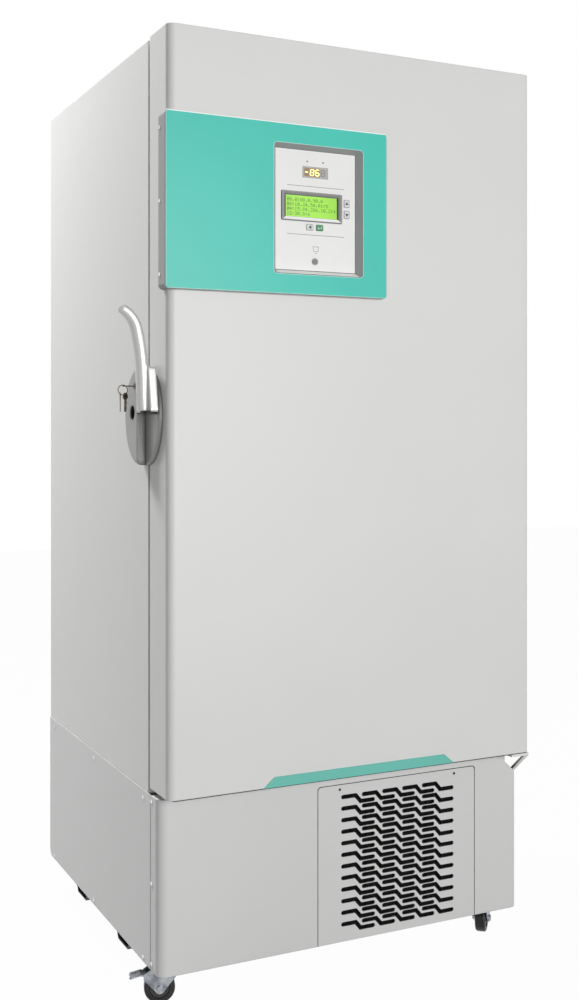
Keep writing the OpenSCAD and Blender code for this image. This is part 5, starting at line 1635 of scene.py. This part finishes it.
@dataclass
class Casters:
    """Four swivel casters, the front pair with brakes, in millimetres."""

    wheel_r: float = 32.0
    wheel_w: float = 24.0
    trail: float = 26.0
    caster_x: float = 382.0
    front_y: float = -312.0
    rear_y: float = 350.0
    nut_r: float = 6.4
    nut_h: float = 4.5
    nut_out: float = 5.0
    disc_in: float = 3.2

    def dress(self) -> None:
        """Gives every piece of the casters its finish."""
        paint_nodes({"caster_plates": ZINC, "brake_pedal_left": ZINC, "brake_pedal_right": ZINC})
        for corner in self.corners():
            paint_nodes({f"caster_fork_{corner}": ZINC, f"caster_wheel_{corner}": TREAD})

    def corners(self) -> dict[str, Place]:
        """Works out where the casters stand and which way they trail.

        Returns:
            Each swivel axis (x, y) and heading in degrees, by corner.
        """
        x, front, rear = self.caster_x, self.front_y, self.rear_y
        return {"front_left": (-x, front, 163.0), "front_right": (x, front, 47.0),
                "rear_left": (-x, rear, 30.0), "rear_right": (x, rear, 30.0)}

    def build(self) -> None:
        """Adds an axle nut and washer on both sides of every fork, and the wheels' hub discs."""
        for corner, (x, y, heading) in self.corners().items():
            ahead = Vector((math.cos(math.radians(heading)), math.sin(math.radians(heading)), 0))
            across = Vector((-ahead.y, ahead.x, 0))
            axle = Vector((x, y, self.wheel_r)) + ahead * self.trail
            finished(f"axle_nuts_{corner}", mesh_from(lambda work: self._nuts(work, axle, across)), ZINC,
                     f"fork_{corner}", 30)
            finished(f"hub_discs_{corner}", mesh_from(lambda work: self._discs(work, axle, across)), RAIL_PAINT,
                     f"wheel_{corner}", 40)

    def _nuts(self, work: bmesh.types.BMesh, axle: Vector, across: Vector) -> None:
        """Draws two hexagon nuts on washers.

        Args:
            work: Where they go.
            axle: Middle of the axle.
            across: Its direction.
        """
        r, h = self.nut_r * MM, self.nut_h * MM
        washer = [(0, 0), (r * 1.25, 0), (r * 1.25, 0.001), (0, 0.001)]
        nut = [(0, 0.001), (r, 0.001), (r, h * 0.85), (r * 0.86, h), (r * 0.4, h), (0, h)]
        for side in (-1, 1):
            start = (axle + across * (side * (self.wheel_w / 2 + self.nut_out))) * MM
            lathe(work, washer, start, across * side, 28)
            lathe(work, nut, start, across * side, 6)

    def _discs(self, work: bmesh.types.BMesh, axle: Vector, across: Vector) -> None:
        """Draws a dished hub cover on each side of a wheel.

        Args:
            work: Where they go.
            axle: Middle of the axle.
            across: Its direction.
        """
        dish = [(0.0121, 0), (0.0208, 0), (0.0206, 0.0012), (0.0165, 0.0006), (0.0125, 0.0012), (0.0121, 0)]
        for side in (-1, 1):
            start = (axle + across * (side * (self.wheel_w / 2 - self.disc_in))) * MM
            lathe(work, dish, start, across * side, 40)


@dataclass
class Studio:
    """White floor and backdrop, soft lamps and the camera of the photograph, in metres, degrees and watts."""

    place: Place = (-1.2964, -2.7468, 1.1894)
    heading: float = -25.915
    lens: float = 45.12
    shift: float = -0.0753
    ambient: float = 0.265
    key_place: Place = (0.9, -6.2, 1.6)
    key_aim: Place = (0.0, -0.4, 1.2)
    key_size: float = 2.6
    key_power: float = 238.0
    side_place: Place = (-1.25, 2.2, 4.0)
    side_aim: Place = (-0.435, 0.0, 1.3)
    side_size: float = 0.8
    side_power: float = 262.0
    floor_half: float = 9.0
    floor_light: float = 0.32
    floor_white: float = 0.98

    def build(self) -> None:
        """Sets up the world, the floor, the lamps and the camera."""
        self._camera()
        self._world()
        self._floor()
        self._lamp("key_lamp", self.key_place, self.key_aim, self.key_size, self.key_power)
        side = self._lamp("side_lamp", self.side_place, self.side_aim, self.side_size, self.side_power)
        side.visible_glossy = False
        bpy.context.scene.view_settings.view_transform = "Standard"

    def _camera(self) -> None:
        """Adds the camera."""
        data = bpy.data.cameras.new("camera")
        data.sensor_width = 36
        data.lens = self.lens
        data.shift_y = self.shift
        camera = bpy.data.objects.new("camera", data)
        camera.location = self.place
        camera.rotation_euler = (math.pi / 2, 0, math.radians(self.heading))
        bpy.context.scene.collection.objects.link(camera)
        bpy.context.scene.camera = camera

    def _world(self) -> None:
        """Makes the world white to look at, and a soft even light on the object."""
        world = bpy.data.worlds.new("studio")
        bpy.context.scene.world = world
        world.use_nodes = True
        bench = Bench(world.node_tree, "ShaderNodeOutputWorld")
        seen = self._seen(bench)
        dim = bench.node("ShaderNodeBackground", {}, {"Color": (1.0, 1.0, 1.0), "Strength": self.ambient})
        white = bench.node("ShaderNodeBackground", {}, {"Color": (1.0, 1.0, 1.0), "Strength": 1.0})
        bench.end(bench.node("ShaderNodeMixShader", {}, {0: seen, 1: dim, 2: white}))

    @staticmethod
    def _seen(bench: Bench) -> Flow:
        """Adds the test for what only shows the background.

        Args:
            bench: Where it goes.

        Returns:
            1 for rays from the camera, off gloss or through glass.
        """
        rays = [bench.node("ShaderNodeLightPath", {}, {}, key)
                for key in ("Is Camera Ray", "Is Glossy Ray", "Is Transmission Ray")]
        return bench.spread(rays[0] + rays[1] + rays[2], 0.0, 1.0)

    def _floor(self) -> None:
        """Adds the floor, white with only a faint shadow."""
        h = self.floor_half
        mesh = bpy.data.meshes.new("floor")
        mesh.from_pydata([(-h, -h, 0), (h, -h, 0), (h, h, 0), (-h, h, 0)], [], [(0, 1, 2, 3)])
        material = bpy.data.materials.new("floor_paper")
        material.use_nodes = True
        bench = Bench(material.node_tree)
        light = (self.floor_light,) * 3
        paper = bench.blend(bench.noise(30.0) * 0.2, light, shaded(light, 0.95))
        matt = bench.node("ShaderNodeBsdfDiffuse", {}, {"Color": paper})
        glow = bench.node("ShaderNodeEmission", {}, {"Color": (1.0, 1.0, 1.0), "Strength": 1.0})
        share = self._seen(bench) * self.floor_white
        bench.end(bench.node("ShaderNodeMixShader", {}, {0: share, 1: matt, 2: glow}))
        mesh.materials.append(material)
        floor = bpy.data.objects.new("floor", mesh)
        bpy.context.scene.collection.objects.link(floor)

    @staticmethod
    def _lamp(name: str, place: Place, aim: Place, size: float, power: float) -> bpy.types.Object:
        """Adds a square soft lamp.

        Args:
            name: Its name.
            place: Where it is, in metres.
            aim: What it points at.
            size: Length of its side.
            power: Its power in watts.

        Returns:
            The lamp.
        """
        data = bpy.data.lights.new(name, "AREA")
        data.shape = "SQUARE"
        data.size = size
        data.energy = power
        lamp = bpy.data.objects.new(name, data)
        lamp.location = place
        lamp.rotation_euler = (Vector(aim) - Vector(place)).to_track_quat("-Z", "Y").to_euler()
        bpy.context.scene.collection.objects.link(lamp)
        return lamp


def paint_nodes(finishes: dict[str, Finish]) -> None:
    """Gives nodes of the frame their finishes.

    Args:
        finishes: Finishes by the node's name.
    """
    for node, finish in finishes.items():
        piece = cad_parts[node]
        material = finish.material()
        if not piece.material_slots:
            piece.data.materials.append(material)
        for slot in piece.material_slots:
            slot.material = material
        log.info("%s: %s", node, finish.name)


def main() -> None:
    """Builds the studio and every sub-assembly in order."""
    logging.basicConfig(level=logging.INFO, format="%(name)s %(message)s")
    Studio().build()
    rims, screws, bars, dots = slot_grid(), screw_set(), bar_row(), dot_field()
    cabinet = Cabinet()
    cabinet.dress()
    cabinet.build(bars)
    door = Door()
    door.dress()
    door.build()
    panel = ControlPanel()
    panel.dress()
    panel.build(dots)
    latch = Latch()
    latch.dress()
    latch.build()
    base = MachineBase()
    base.dress()
    base.build(rims, screws)
    casters = Casters()
    casters.dress()
    casters.build()


if __name__ == "__main__":
    main()
